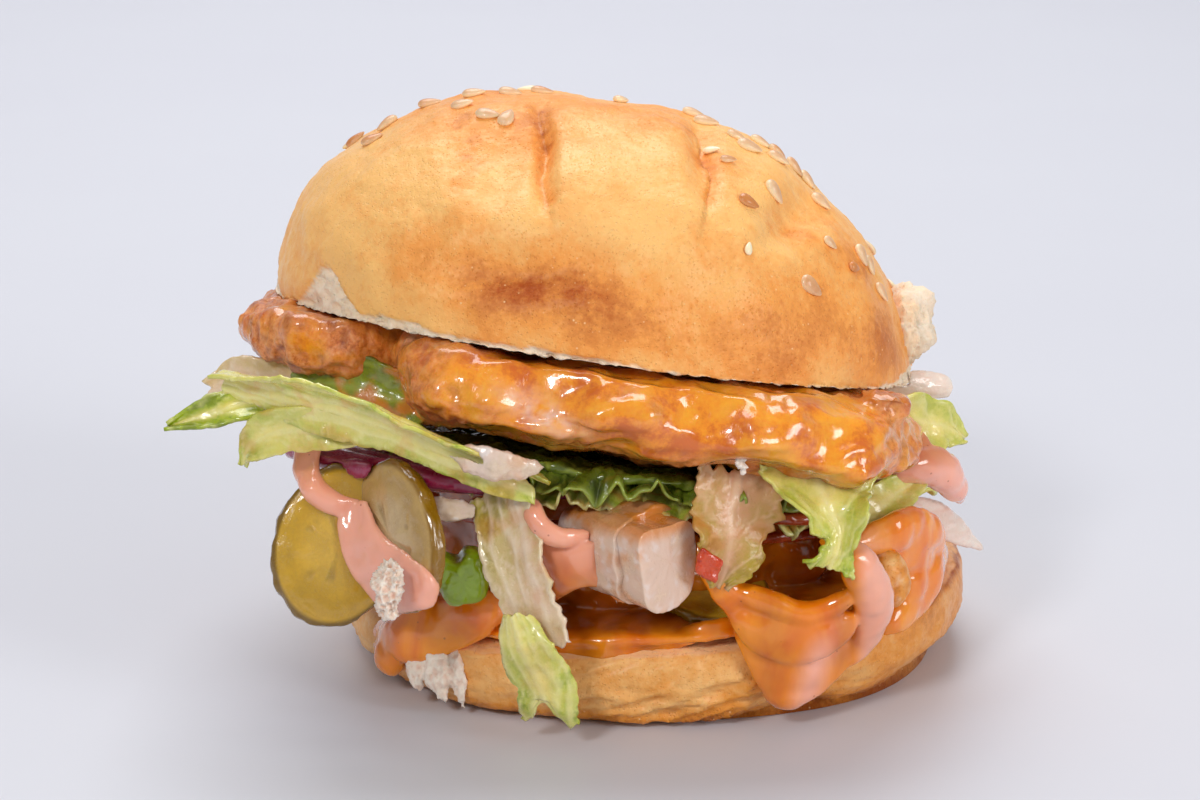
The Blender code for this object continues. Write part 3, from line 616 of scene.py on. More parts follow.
@dataclass(frozen=True)
class Glaze(Finish):
    """Fried chicken under a wet amber glaze."""

    deep: Colour = shade(214, 104, 6)
    amber: Colour = shade(244, 146, 14)
    bright: Colour = shade(250, 168, 30)
    breading: Colour = shade(224, 138, 78)
    meat: Colour = shade(255, 224, 208)
    shadow: Colour = shade(128, 48, 6)

    def dress(self, graph: Graph, shader: bpy.types.Node) -> None:
        """Amber over brown crags, paler where the breading or the meat shows through, and darkened by the
        painted shade.
        """
        place = graph.place()
        crag, pale, hollow = (graph.attribute(name) for name in ("crag", "pale", "hollow"))
        blotch = graph.group(mottle_group(), Vector=place, Size=5, Fine=0.35).outputs["Mask"]
        glaze = graph.ramp(blotch, (0, self.deep), (0.4, self.amber), (1, self.bright))
        fine = graph.noise(place, 0.9, 4, 0.7)
        crust = graph.ramp(fine, (0.34, shade(164, 76, 22)), (0.5, self.breading),
                           (0.68, shade(240, 178, 128)))
        colour = graph.blend(graph.math("MULTIPLY", crag, 0.8), glaze, crust)
        flesh = graph.blend(fine, self.meat, shade(232, 172, 140))
        # Painted shade: darker under the crown's edge, in the crags and on faces turned down.
        colour = graph.blend(hollow, colour, self.shadow)
        colour = graph.blend(pale, colour, flesh)
        graph.feed(shader.inputs["Base Color"], colour)
        graph.feed(shader.inputs["Roughness"], graph.spread(crag, 0, 1, self.roughness, 0.42))
        graph.feed(shader.inputs["Coat Weight"], graph.spread(crag, 0, 1, 1, 0.5))
        ripples = graph.noise(graph.stretched(place, (1, 1, 0.6)), 1.9, 3, 0.55, 1.5)
        grain = graph.group(grain_group(), Vector=place, Size=0.9, Pits=0.2).outputs["Height"]
        height = graph.math("MULTIPLY_ADD", grain, graph.spread(crag, 0, 1, 0.12, 0.8), ripples)
        graph.feed(shader.inputs["Normal"], graph.bump(height, 0.17, 0.7))


@dataclass(frozen=True)
class LeafFlesh(Finish):
    """Lettuce that reads how green each point is, where its veins and stains are, and where a frill's edge
    has a painted highlight.
    """

    pale: Colour = shade(240, 224, 132)
    green: Colour = shade(166, 184, 30)
    vein: Colour = shade(240, 232, 168)
    stain: Colour = shade(216, 128, 48)
    dark: Colour = shade(104, 124, 10)

    def dress(self, graph: Graph, shader: bpy.types.Node) -> None:
        """Green that fades to the pale rib, with lighter veins, a painted highlight along frill edges, and
        patches of sauce.
        """
        place = graph.place()
        green, vein, stain = (graph.attribute(name) for name in ("green", "vein", "stain"))
        blotch = graph.group(mottle_group(), Vector=place, Size=4, Fine=0.5).outputs["Mask"]
        share = graph.math("MULTIPLY_ADD", graph.math("SUBTRACT", blotch, 0.5), 0.4, green, clamp=True)
        colour = graph.blend(share, self.pale, self.green)
        deepest = graph.spread(graph.math("MULTIPLY", blotch, green), 0.35, 0.9, 0, 0.6)
        colour = graph.blend(deepest, colour, self.dark)
        colour = graph.blend(graph.math("MULTIPLY", vein, 0.7), colour, self.vein)
        graph.feed(shader.inputs["Base Color"], graph.blend(stain, colour, self.stain))
        graph.feed(shader.inputs["Roughness"],
                   graph.spread(blotch, 0, 1, self.roughness - 0.08, self.roughness + 0.1))
        pocked = graph.group(grain_group(), Vector=place, Size=1.5, Pits=0.3).outputs["Height"]
        graph.feed(shader.inputs["Normal"], graph.bump(pocked, 0.22, 0.5))


@dataclass(frozen=True)
class Slice(Finish):
    """A cut vegetable with a skin: it reads where the skin is and how deep in the flesh each point lies; on
    chips and slivers that second value is painted light on faces turned up.
    """

    skin: Colour = shade(84, 84, 16)
    flesh: Colour = shade(190, 158, 60)
    heart: Colour = shade(206, 176, 98)
    streak: Colour = shade(150, 118, 40)

    def dress(self, graph: Graph, shader: bpy.types.Node) -> None:
        """Skin round flesh that changes towards the middle, and on chips and slivers towards upturned faces
        as painted light.
        """
        place = graph.place()
        skin, heart, streak = (graph.attribute(name) for name in ("skin", "heart", "streak"))
        blotch = graph.group(mottle_group(), Vector=place, Size=3, Fine=0.6).outputs["Mask"]
        colour = graph.blend(heart, self.flesh, self.heart)
        colour = graph.blend(graph.math("MULTIPLY", streak, 0.7), colour, self.streak)
        colour = graph.blend(graph.math("MULTIPLY", blotch, 0.3), colour, self.streak)
        graph.feed(shader.inputs["Base Color"], graph.blend(skin, colour, self.skin))
        graph.feed(shader.inputs["Roughness"],
                   graph.spread(blotch, 0, 1, self.roughness, self.roughness + 0.14))
        relief = graph.group(grain_group(), Vector=place, Size=1.2, Pits=0.25).outputs["Height"]
        graph.feed(shader.inputs["Normal"], graph.bump(relief, 0.18, 0.5))


@dataclass(frozen=True)
class Sauce(Finish):
    """Thick glossy sauce, between orange and pink as painted, and dark where it pools."""

    orange: Colour = shade(255, 154, 24)
    deep: Colour = shade(234, 116, 4)
    pink: Colour = shade(250, 178, 156)
    pooled: Colour = shade(150, 70, 6)

    def dress(self, graph: Graph, shader: bpy.types.Node) -> None:
        """Streaks of the two sauces that were not quite stirred in."""
        place = graph.place()
        pink, pooled = graph.attribute("pink"), graph.attribute("pooled")
        streaks = graph.noise(graph.stretched(place, (1, 1, 0.4), (0, 0.5, 0)), 6, 3, 0.5, 0.8)
        colour = graph.ramp(streaks, (0.3, self.deep), (0.58, self.orange))
        share = graph.math("MULTIPLY_ADD", graph.math("SUBTRACT", streaks, 0.5), 0.3, pink, clamp=True)
        colour = graph.blend(share, colour, self.pink)
        specks = graph.spread(graph.cells(place, 2.6), 0.04, 0.09, 0.5, 0)
        colour = graph.blend(specks, colour, shade(150, 60, 16))
        graph.feed(shader.inputs["Base Color"], graph.blend(pooled, colour, self.pooled))
        graph.feed(shader.inputs["Roughness"],
                   graph.spread(streaks, 0.2, 0.8, self.roughness, self.roughness + 0.12))
        graph.feed(shader.inputs["Normal"], graph.bump(graph.noise(place, 2.2, 3, 0.5, 0.6), 0.16, 0.4))


@dataclass(frozen=True)
class Seed(Finish):
    """Sesame: cream, browner where toasted, with painted shade on the side that faces the crust."""

    cream: Colour = shade(255, 238, 200)
    brown: Colour = shade(206, 132, 68)

    def dress(self, graph: Graph, shader: bpy.types.Node) -> None:
        """Browner by each seed's toast, with painted shade on the side that faces the crust and at the tips.
        """
        place = graph.place()
        toasted = graph.attribute("toast")
        cloud = graph.math("SUBTRACT", graph.noise(place, 1.4, 3), 0.5)
        share = graph.math("MULTIPLY_ADD", cloud, 0.5, toasted, clamp=True)
        graph.feed(shader.inputs["Base Color"], graph.blend(share, self.cream, self.brown))
        graph.feed(shader.inputs["Normal"], graph.bump(graph.noise(place, 0.5, 3), 0.08, 0.5))


@dataclass(frozen=True)
class Table(Finish):
    """The plain pale floor."""

    colour: Colour = shade(214, 216, 223)
    behind: Colour = shade(178, 177, 187)

    def dress(self, graph: Graph, shader: bpy.types.Node) -> None:
        """Very faint clouds, and a slightly darker tone behind."""
        place = graph.place()
        cloud = graph.noise(place, 180, 3)
        near = graph.blend(cloud, self.colour, shade(208, 209, 218))
        far = graph.spread(graph.node("ShaderNodeSeparateXYZ", {0: place}).outputs["Z"], 60, 200)
        graph.feed(shader.inputs["Base Color"], graph.blend(far, near, self.behind))


class Finishes:
    """The finishes of this burger."""

    crust = Crust("crown_crust", roughness=0.4, shine=0.3, glow=0.08, glow_depth=1.2)
    heel = Crust("lower_crust", roughness=0.36, shine=0.35, coat=0.15, coat_roughness=0.25, glow=0.08,
                 glow_depth=1.2, light=shade(246, 190, 118), golden=shade(230, 148, 54),
                 toasted=shade(160, 78, 8))
    crumb = Crumb("open_crumb", roughness=0.9, glow=0.3, glow_depth=1.6, glow_tint=(1, 0.8, 0.65))
    seed = Seed("sesame", roughness=0.34, coat=0.2, glow=0.15)
    chicken = Glaze("glazed_breading", roughness=0.2, coat=1, coat_roughness=0.04, glow=0.2,
                    glow_depth=1.8, glow_tint=(1, 0.4, 0.1))
    lettuce = LeafFlesh("pale_green_leaf", roughness=0.28, coat=0.5, glow=0.3, glow_depth=1.2,
                        glow_tint=(0.8, 1, 0.25))
    dark_lettuce = LeafFlesh("dark_leaf", roughness=0.28, coat=0.5, glow=0.15, glow_depth=1,
                             glow_tint=(0.5, 1, 0.2), pale=shade(140, 156, 44), green=shade(60, 78, 8),
                             vein=shade(168, 184, 74), dark=shade(30, 40, 2))
    rib = LeafFlesh("leaf_rib", roughness=0.24, coat=0.5, glow=0.35, glow_depth=1.8,
                    glow_tint=(1, 0.8, 0.6), pale=shade(240, 206, 174), green=shade(186, 172, 76),
                    vein=shade(250, 228, 204), dark=shade(140, 118, 56))
    stem = LeafFlesh("thick_stem", roughness=0.2, coat=0.6, glow=0.3, glow_depth=2,
                     glow_tint=(1, 0.85, 0.75), pale=shade(230, 204, 186), green=shade(212, 192, 140),
                     vein=shade(236, 224, 218), stain=shade(222, 138, 62), dark=shade(190, 158, 104))
    soaked = LeafFlesh("soaked_leaf", roughness=0.4, coat=0.2, glow=0.3, glow_depth=1.8,
                       glow_tint=(1, 0.7, 0.4), pale=shade(216, 158, 118), green=shade(176, 152, 36),
                       vein=shade(240, 200, 164), stain=shade(206, 112, 44), dark=shade(150, 100, 30))
    pickle = Slice("gherkin", roughness=0.14, coat=0.7, glow=0.3, glow_depth=2.5, glow_tint=(1, 0.8, 0.2),
                   skin=shade(124, 92, 8), flesh=shade(206, 162, 40), heart=shade(224, 184, 78))
    leaning = Slice("wet_gherkin", roughness=0.14, coat=0.7, glow=0.3, glow_depth=2.5,
                    glow_tint=(1, 0.8, 0.4),
                    skin=shade(140, 100, 12), flesh=shade(190, 156, 96), heart=shade(206, 180, 136),
                    streak=shade(150, 116, 60))
    onion = Slice("red_onion_flesh", roughness=0.16, coat=0.6, glow=0.2, glow_depth=1.2,
                  glow_tint=(1, 0.3, 0.5), skin=shade(150, 8, 66), flesh=shade(136, 14, 62),
                  heart=shade(178, 84, 120), streak=shade(96, 4, 36))
    pale_onion = Slice("pale_onion_flesh", roughness=0.2, coat=0.5, glow=0.4, glow_depth=2,
                       glow_tint=(1, 0.8, 0.7), skin=shade(238, 214, 200), flesh=shade(242, 224, 210),
                       heart=shade(246, 236, 226), streak=shade(228, 184, 160))
    tomato = Slice("tomato_flesh", roughness=0.16, coat=0.8, glow=0.25, glow_depth=2,
                   glow_tint=(1, 0.25, 0.1), skin=shade(150, 50, 20), flesh=shade(170, 62, 24),
                   heart=shade(184, 84, 40), streak=shade(206, 120, 66))
    pepper = Slice("green_pepper", roughness=0.12, coat=0.9, glow=0.2, glow_depth=1.5,
                   glow_tint=(0.5, 1, 0.1), skin=shade(136, 164, 10), flesh=shade(118, 150, 10),
                   heart=shade(164, 184, 30), streak=shade(80, 112, 4))
    chilli = Slice("red_chilli", roughness=0.16, coat=0.7, glow=0.2, skin=shade(200, 40, 4),
                   flesh=shade(206, 54, 10), heart=shade(222, 90, 30), streak=shade(160, 24, 2))
    sauce = Sauce("burger_sauce", roughness=0.14, coat=0.8, coat_roughness=0.03, glow=0.28, glow_depth=1.8,
                  glow_tint=(1, 0.6, 0.3))
    table = Table("table", roughness=0.5, glow=0)


# The view


class Camera:
    """The photograph's view of the burger."""

    @staticmethod
    def axes() -> tuple[Vector, Vector]:
        """The directions to the right and up in the picture."""
        return Vector((1, 0, 0)), Vector((0, sin(VIEW_ELEVATION), cos(VIEW_ELEVATION)))

    @staticmethod
    def forward() -> Vector:
        """The direction that the view looks."""
        return Vector((0, cos(VIEW_ELEVATION), -sin(VIEW_ELEVATION)))

    @staticmethod
    def eye() -> Vector:
        """Where the view is taken from, in millimetres."""
        return VIEW_TARGET - Camera.forward() * VIEW_DISTANCE

    @staticmethod
    def ray(px: float, py: float) -> tuple[Vector, Vector]:
        """The line of sight through a pixel of the photograph.

        Args:
            px: pixels from its left.
            py: pixels from its top.

        Returns:
            The eye and the direction, in millimetres.
        """
        right, up = Camera.axes()
        far = VIEW_DISTANCE / MM_PER_PIXEL
        ray = Camera.forward() * far + right * (px - PHOTO_WIDTH / 2) + up * (PHOTO_HEIGHT / 2 - py)
        return Camera.eye(), ray.normalized()

    @staticmethod
    def seen(px: float, py: float, y: float) -> Triple:
        """The place on the line of sight through a pixel, this far to the back, in millimetres."""
        start, ray = Camera.ray(px, py)
        return tuple(start + ray * ((y - start.y) / ray.y))

    def build(self) -> bpy.types.Object:
        """Makes the scene's camera."""
        data = bpy.data.cameras.new("camera")
        data.sensor_width = SENSOR_WIDTH
        data.lens = SENSOR_WIDTH * VIEW_DISTANCE / MM_PER_PIXEL / PHOTO_WIDTH
        data.clip_start, data.clip_end = 0.01, 20
        camera = bpy.data.objects.new("camera", data)
        bpy.context.scene.collection.objects.link(camera)
        camera.location = self.eye() * MM
        camera.rotation_mode = "QUATERNION"
        camera.rotation_quaternion = self.forward().to_track_quat("-Z", "Y")
        bpy.context.scene.camera = camera
        return camera


# The pieces


@dataclass(frozen=True)
class Dent:
    """A place where the crust is pressed in, seen from the front or the back."""

    x: float
    z: float
    wide: float
    tall: float
    depth: float

    def at(self, point: Vector) -> float:
        """How deep it presses at a point."""
        return self.depth * hump(point.x, self.x, self.wide) * hump(point.z, self.z, self.tall)


@dataclass(frozen=True)
class Crease:
    """A fold in the crust along a line of (x, z), seen from the front."""

    line: tuple[tuple[float, float], ...]
    width: float
    depth: float
    step: float = 0

    def at(self, point: Vector) -> tuple[float, float]:
        """How near a point is to the fold.

        Args:
            point: a place on the crust.

        Returns:
            A share that is 1 on the line, and the depth that the crust sinks there.
        """
        best, side = 1e9, 0
        for (ax, az), (bx, bz) in zip(self.line, self.line[1:]):
            run = Vector((bx - ax, bz - az))
            to = Vector((point.x - ax, point.z - az))
            share = min(1, max(0, to.dot(run) / run.length_squared))
            away = to - run * share
            if away.length < best:
                best = away.length
                side = copysign(1, run.x * to.y - run.y * to.x)
        near = hump(best, 0, self.width)
        stepped = self.step * side * hump(best, 0, 4 * self.width)
        return near, self.depth * near + stepped


@dataclass(frozen=True)
class Tear:
    """A stretch of the crown's rim where the crust is torn off the crumb: it reaches this high."""

    turn: float
    width: float
    height: float


@dataclass(frozen=True)
class PlacedSeed:
    """A sesame seed by its place in the photograph, with its turn there in degrees."""

    px: float
    py: float
    turn: float
    size: float = 1
    toast: float = 0.15


@dataclass
class Crown:
    """The seeded upper half of the bun, with its dents, creases, torn rim and flap."""

    segments: int = 500
    rings: int = 176
    share_above: float = 0.84
    front_dents: tuple[Dent, ...] = (
        Dent(-20.3, 82, 5.5, 4.5, 2.3),
        Dent(-14.3, 82, 1.6, 4.6, 1.8),
        Dent(8.6, 80.5, 2, 4.4, 1.9),
        Dent(-14, 68.7, 11, 3.2, 2.3),
        Dent(22.5, 72.6, 6, 3, 2.5),
    )
    back_dents: tuple[Dent, ...] = (
        Dent(-20, 64, 9, 4, 2),
        Dent(12, 60, 7, 6, 2),
        Dent(-4, 72, 2, 8, 1.6),
    )
    creases: tuple[Crease, ...] = (
        Crease(((-27.4, 85.4), (-25.2, 82.8), (-26.6, 79.6)), 1.8, 0.5),
        Crease(((-15.6, 87.4), (-13.8, 84), (-14.8, 81.2), (-13.6, 78)), 1.2, 0.7, -0.2),
        Crease(((4, 85.4), (8.4, 82.6), (10, 79.6), (9, 76.4)), 1, 0.5, 0.5),
        Crease(((13.2, 71.6), (18, 73.2), (23.2, 71.6), (28.4, 67), (32.2, 62.6)), 1.6, -0.6),
        Crease(((2.6, 60.4), (3.2, 58.6), (2.8, 56.4)), 0.28, 0.5),
        Crease(((6.4, 59.2), (6, 57), (6.8, 55.6)), 0.25, 0.4),
    )
    tears: tuple[Tear, ...] = (
        Tear(185, 7, 5),
        Tear(216, 6.5, 6.2),
        Tear(234, 9, 1.6),
        Tear(262, 20, 0.9),
        Tear(352, 18, 2.6),
        Tear(60, 12, 3),
        Tear(128, 14, 2.4),
    )
    seeds_in_front: tuple[PlacedSeed, ...] = (
        PlacedSeed(357, 141, 30, toast=0.7), PlacedSeed(373, 141, 25, toast=0.55),
        PlacedSeed(430, 105, 15, toast=0.4), PlacedSeed(463, 106, -15), PlacedSeed(474, 95, 10),
        PlacedSeed(488, 116, -35, 1.05), PlacedSeed(507, 119, 78, 1.05), PlacedSeed(510, 94, -10),
        PlacedSeed(542, 93, -15, toast=0.4), PlacedSeed(693, 115, -10), PlacedSeed(706, 123, -30, 1.1),
        PlacedSeed(737, 128, -12, toast=0.35), PlacedSeed(736, 138, -5, 0.9), PlacedSeed(749, 148, 0, 1.15),
        PlacedSeed(712, 152, -25, 0.75), PlacedSeed(728, 161, 20, 0.7, 0.4), PlacedSeed(760, 144, -25),
        PlacedSeed(778, 160, -35), PlacedSeed(793, 168, -30, 1, 0.35), PlacedSeed(806, 181, -35),
        PlacedSeed(820, 203, -62, 1), PlacedSeed(837, 206, -40, 0.8), PlacedSeed(773, 193, -38, 1.15),
        PlacedSeed(748, 203, -10, 0.95, 0.95), PlacedSeed(747, 249, 60, 0.6), PlacedSeed(829, 244, -30, 0.7),
        PlacedSeed(860, 256, -60, 1), PlacedSeed(868, 266, -50, 0.9), PlacedSeed(853, 268, 10, 0.7, 0.9),
        PlacedSeed(810, 287, -25, 1.15, 0.35), PlacedSeed(880, 293, -60, 0.9), PlacedSeed(873, 231, -50, 0.8),
    )

    def reach(self, theta: float) -> float:
        """How far the rim is from the crown's centre line."""
        return superellipse(theta, CROWN_RADIUS_X, CROWN_RADIUS_Y, 2.1) + uneven(theta, 1.3, 0.5)

    def torn_height(self, theta: float) -> float:
        """How high over the rim the crumb shows in this direction."""
        wide = [(tear, radians(tear.width)) for tear in self.tears]
        high = sum(
            tear.height * toward(theta, tear.turn, width)
            for tear, width in wide
        )
        around = Vector((cos(theta), sin(theta), 0))
        return 0.05 + high * (1 + 0.4 * noise.noise(around * 9)) + 0.5 * noise.noise(around * 28)

    def skin(self, theta: float, phi: float) -> tuple[Vector, Vector]:
        """A point of the smooth crown before its relief, with its outward direction."""
        reach = self.reach(theta)
        x = CROWN_CENTRE.x + reach * cos(phi) * cos(theta)
        y = CROWN_CENTRE.y + reach * cos(phi) * sin(theta)
        shoulder = 1.7 * hump(x, 20, 15) * sin(2 * phi)
        z = crown_floor(x, y) + 0.5 * GAP + CROWN_RISE * sin(phi) + shoulder
        out = Vector((
            cos(phi) * cos(theta) / CROWN_RADIUS_X,
            cos(phi) * sin(theta) / CROWN_RADIUS_Y,
            sin(phi) / CROWN_RISE,
        )).normalized()
        return Vector((x, y, z)), out

    def folds(self, point: Vector, out: Vector) -> tuple[float, float]:
        """How near a point is to a crease, and how deep the creases are there."""
        if out.y > -0.1:
            return 0, 0
        facing = ease(-out.y, 0.1, 0.3)
        found = [crease.at(point) for crease in self.creases]
        return facing * max(near for near, _ in found), facing * sum(depth for _, depth in found)

    def surface(self, theta: float, phi: float) -> Vector:
        """A point of the finished crown: phi is 90 degrees at the top, 0 at the rim, -90 below."""
        if phi < 0:
            reach = self.reach(theta)
            x = CROWN_CENTRE.x + reach * cos(phi) * cos(theta)
            y = CROWN_CENTRE.y + reach * cos(phi) * sin(theta)
            low = Vector((x, y, crown_floor(x, y) + 0.5 * GAP - 0.6 * sin(phi)))
            return low + Vector((0, 0, 0.5 * bubbles(low, 2.2)))
        point, out = self.skin(theta, phi)
        dents = self.front_dents if out.y < 0 else self.back_dents
        facing = min(1, 2.5 * abs(out.y))
        sunk = facing * sum(dent.at(point) for dent in dents)
        sunk += lumps(point, 16, 1, 3) + lumps(point, 6, 0.5, 5)
        sunk *= min(1, 3 * sin(phi) + 0.25)
        sunk += self.folds(point, out)[1]
        fine = rough(point, 3.4, 0.2, 2, 5)
        torn = self.torn(theta, point)
        ragged = torn * (1.4 - 1.3 * bubbles(point, 2, 3))
        edge = hump(sin(phi), 0, 0.02)
        jagged = edge * rough(point, 1.6, 0.9, 6, 3)
        return point - out * (sunk - fine + ragged + jagged)

    def torn(self, theta: float, point: Vector) -> float:
        """1 where the crust is torn off, 0 where it is whole."""
        over = point.z - crown_floor(point.x, point.y) - 0.5 * GAP
        high = self.torn_height(theta)
        return 1 - ease(over, high - 0.25, high + 0.25)

    def toast(self, theta: float, phi: float, point: Vector, out: Vector) -> float:
        """How brown the crust is, from 0 to 1, with painted shade in the middle dent and along the creases.
        """
        over = point.z - crown_floor(point.x, point.y)
        band = 0.42 * hump(over, 9, 9) * ease(point.x, -48, -18)
        right = 0.02 * ease(point.x, 4, 30) + 0.16 * hump(point.x, 10, 7) * hump(point.z, 80, 7)
        # Painted shade: the middle term darkens the dent across the crown's front.
        middle = (0.36 + rough(point, 4, 0.25, 4)) * hump(point.x, -14, 9) * hump(point.z, 67, 3.2)
        top = 0.34 * hump(point.z, 87.5, 3.5)
        pale = 0.22 * hump(point.x, 0, 9) * hump(point.z, 73.5, 5)
        cloud = rough(point, 14, 0.22, 8, 4)
        # Painted shade along the creases.
        folded = self.folds(point, out)[0] * (0.16 + rough(point, 2.5, 0.3, 6))
        return 0.08 + band + right + middle + top + folded + cloud - pale

    def build(self) -> bpy.types.Object:
        """The crust, its flap and its seeds.

        Returns:
            The crust, which stands for the crown's solid.
        """
        bm = bmesh.new()
        bmesh.ops.create_uvsphere(bm, u_segments=self.segments, v_segments=self.rings, radius=1)
        toast = bm.verts.layers.float.new("toast")
        torn = bm.verts.layers.float.new("torn")
        for vert in bm.verts:
            theta = atan2(vert.co.y, vert.co.x)
            run = 0.5 - asin(max(-1, min(1, vert.co.z))) / pi
            if run <= self.share_above:
                phi = pi / 2 * (1 - run / self.share_above)
                point, out = self.skin(theta, phi)
                vert[torn] = self.torn(theta, point)
                vert[toast] = self.toast(theta, phi, point, out)
            else:
                phi = -pi / 2 * (run - self.share_above) / (1 - self.share_above)
                vert[torn] = 1
            vert.co = self.surface(theta, phi)
        bmesh.ops.recalc_face_normals(bm, faces=bm.faces)
        tree = BVHTree.FromBMesh(bm)
        crust = piece("crown_crust", bm, Finishes.crust, Slot.CRUST, "crown")
        self.build_flap()
        self.build_seeds(tree)
        return crust

    def build_flap(self) -> None:
        """The torn tongue of crust and crumb along the crown's right end."""
        spine = ((38.4, -9, 49.2, 4.6, 3.4), (40.4, -1, 49.2, 6.4, 4.8), (39.8, 6, 48.2, 6.2, 4.6),
                 (37.2, 13, 46.8, 5, 4), (33.6, 20, 45.4, 3, 2.6))
        bm = skinned(strand(spine, 0, 24, 24), 0.5, 1)
        carve(bm, lambda point, normal: rough(point, 5, 1.5, 4) - 0.9 * (1 - bubbles(point, 1.7, 2)))
        paint(bm,
              torn=lambda point, _: 0.7 + 0.3 * ease(rough(point, 6, 1, 9), -0.3, 0.3),
              toast=lambda point, normal: 0.2 * normal.z - 0.1)
        piece("crown_flap", bm, Finishes.crust, Slot.CRUST)

    def seed_line(self, theta: float) -> float:
        """The lowest that seeds lie, in degrees up the crown."""
        front = toward(theta, -97, 0.62)
        left = toward(theta, -162, 0.6)
        return SEED_LOWEST + 54 * front + 24 * left

    def spiral(self) -> list[Triple]:
        """Where the seeds behind lie, as (theta, phi, turn)."""
        places = []
        step = pi * (3 - sqrt(5))
        for i in range(SEED_TURNS):
            theta = i * step + 0.45 * noise.noise(Vector((0.3, i * 0.7, 0)))
            height = 84 - (84 - SEED_LOWEST) * sqrt(i / SEED_TURNS)
            height += 5 * noise.noise(Vector((i * 0.9, 0.2, 4)))
            if height > self.seed_line(theta):
                places.append((theta, radians(height), 2.4 * i))
        return places

    def build_seeds(self, tree: BVHTree) -> None:
        """All the sesame seeds, pressed a little into the crust."""
        seeds = []
        for seed in self.seeds_in_front:
            start, ray = Camera.ray(seed.px, seed.py)
            here, out, _, _ = tree.ray_cast(start, ray)
            if here is None:
                continue
            across, up = Camera.axes()
            turn = radians(seed.turn)
            along = across * cos(turn) + up * sin(turn)
            seeds.append(self.seed(here, out, along, seed.size, seed.toast))
        eye = Camera.eye()
        for i, (theta, phi, turn) in enumerate(self.spiral()):
            here, out = self.skin(theta, phi)
            here, out, _, _ = tree.find_nearest(here)
            if out.dot((eye - here).normalized()) > 0.12:
                continue
            along = Matrix.Rotation(turn, 3, out) @ out.orthogonal()
            seeds.append(self.seed(here, out, along, 0.85 + 0.3 * sin(7 * i) ** 2, 0.5 * sin(3 * i) ** 2))
        piece("crown_seeds", joined(seeds), Finishes.seed, Slot.CRUST)

    def seed(self, here: Vector, out: Vector, along: Vector, size: float, toasted: float) -> Mesh:
        """One teardrop.

        Args:
            here: where it lies on the crust.
            out: the crust's outward direction.
            along: the way that its tip points.
            size: its size against the usual one.
            toasted: how brown it is.

        Returns:
            Its mesh.
        """
        along = (along - out * along.dot(out)).normalized()
        side = out.cross(along)
        centre = here + out * 0.28 * SEED_HEIGHT

        def place(angle: float, height: float) -> Vector:
            """A point of the seed's skin."""
            narrow = 1 - 0.42 * sin(height)
            point = centre + along * SEED_LENGTH / 2 * size * sin(height)
            point += side * SEED_WIDTH / 2 * size * narrow * cos(height) * cos(angle)
            return point + out * SEED_HEIGHT / 2 * size * narrow * cos(height) * sin(angle)

        bm = ball(14, 9, place)
        # Painted shade: browner on the faces that turn in towards the crust, under the seed.
        paint(bm, toast=lambda point, normal: 0.8 * toasted - 0.1 + 0.6 * max(0, 0.1 - normal.dot(out)))
        return bm


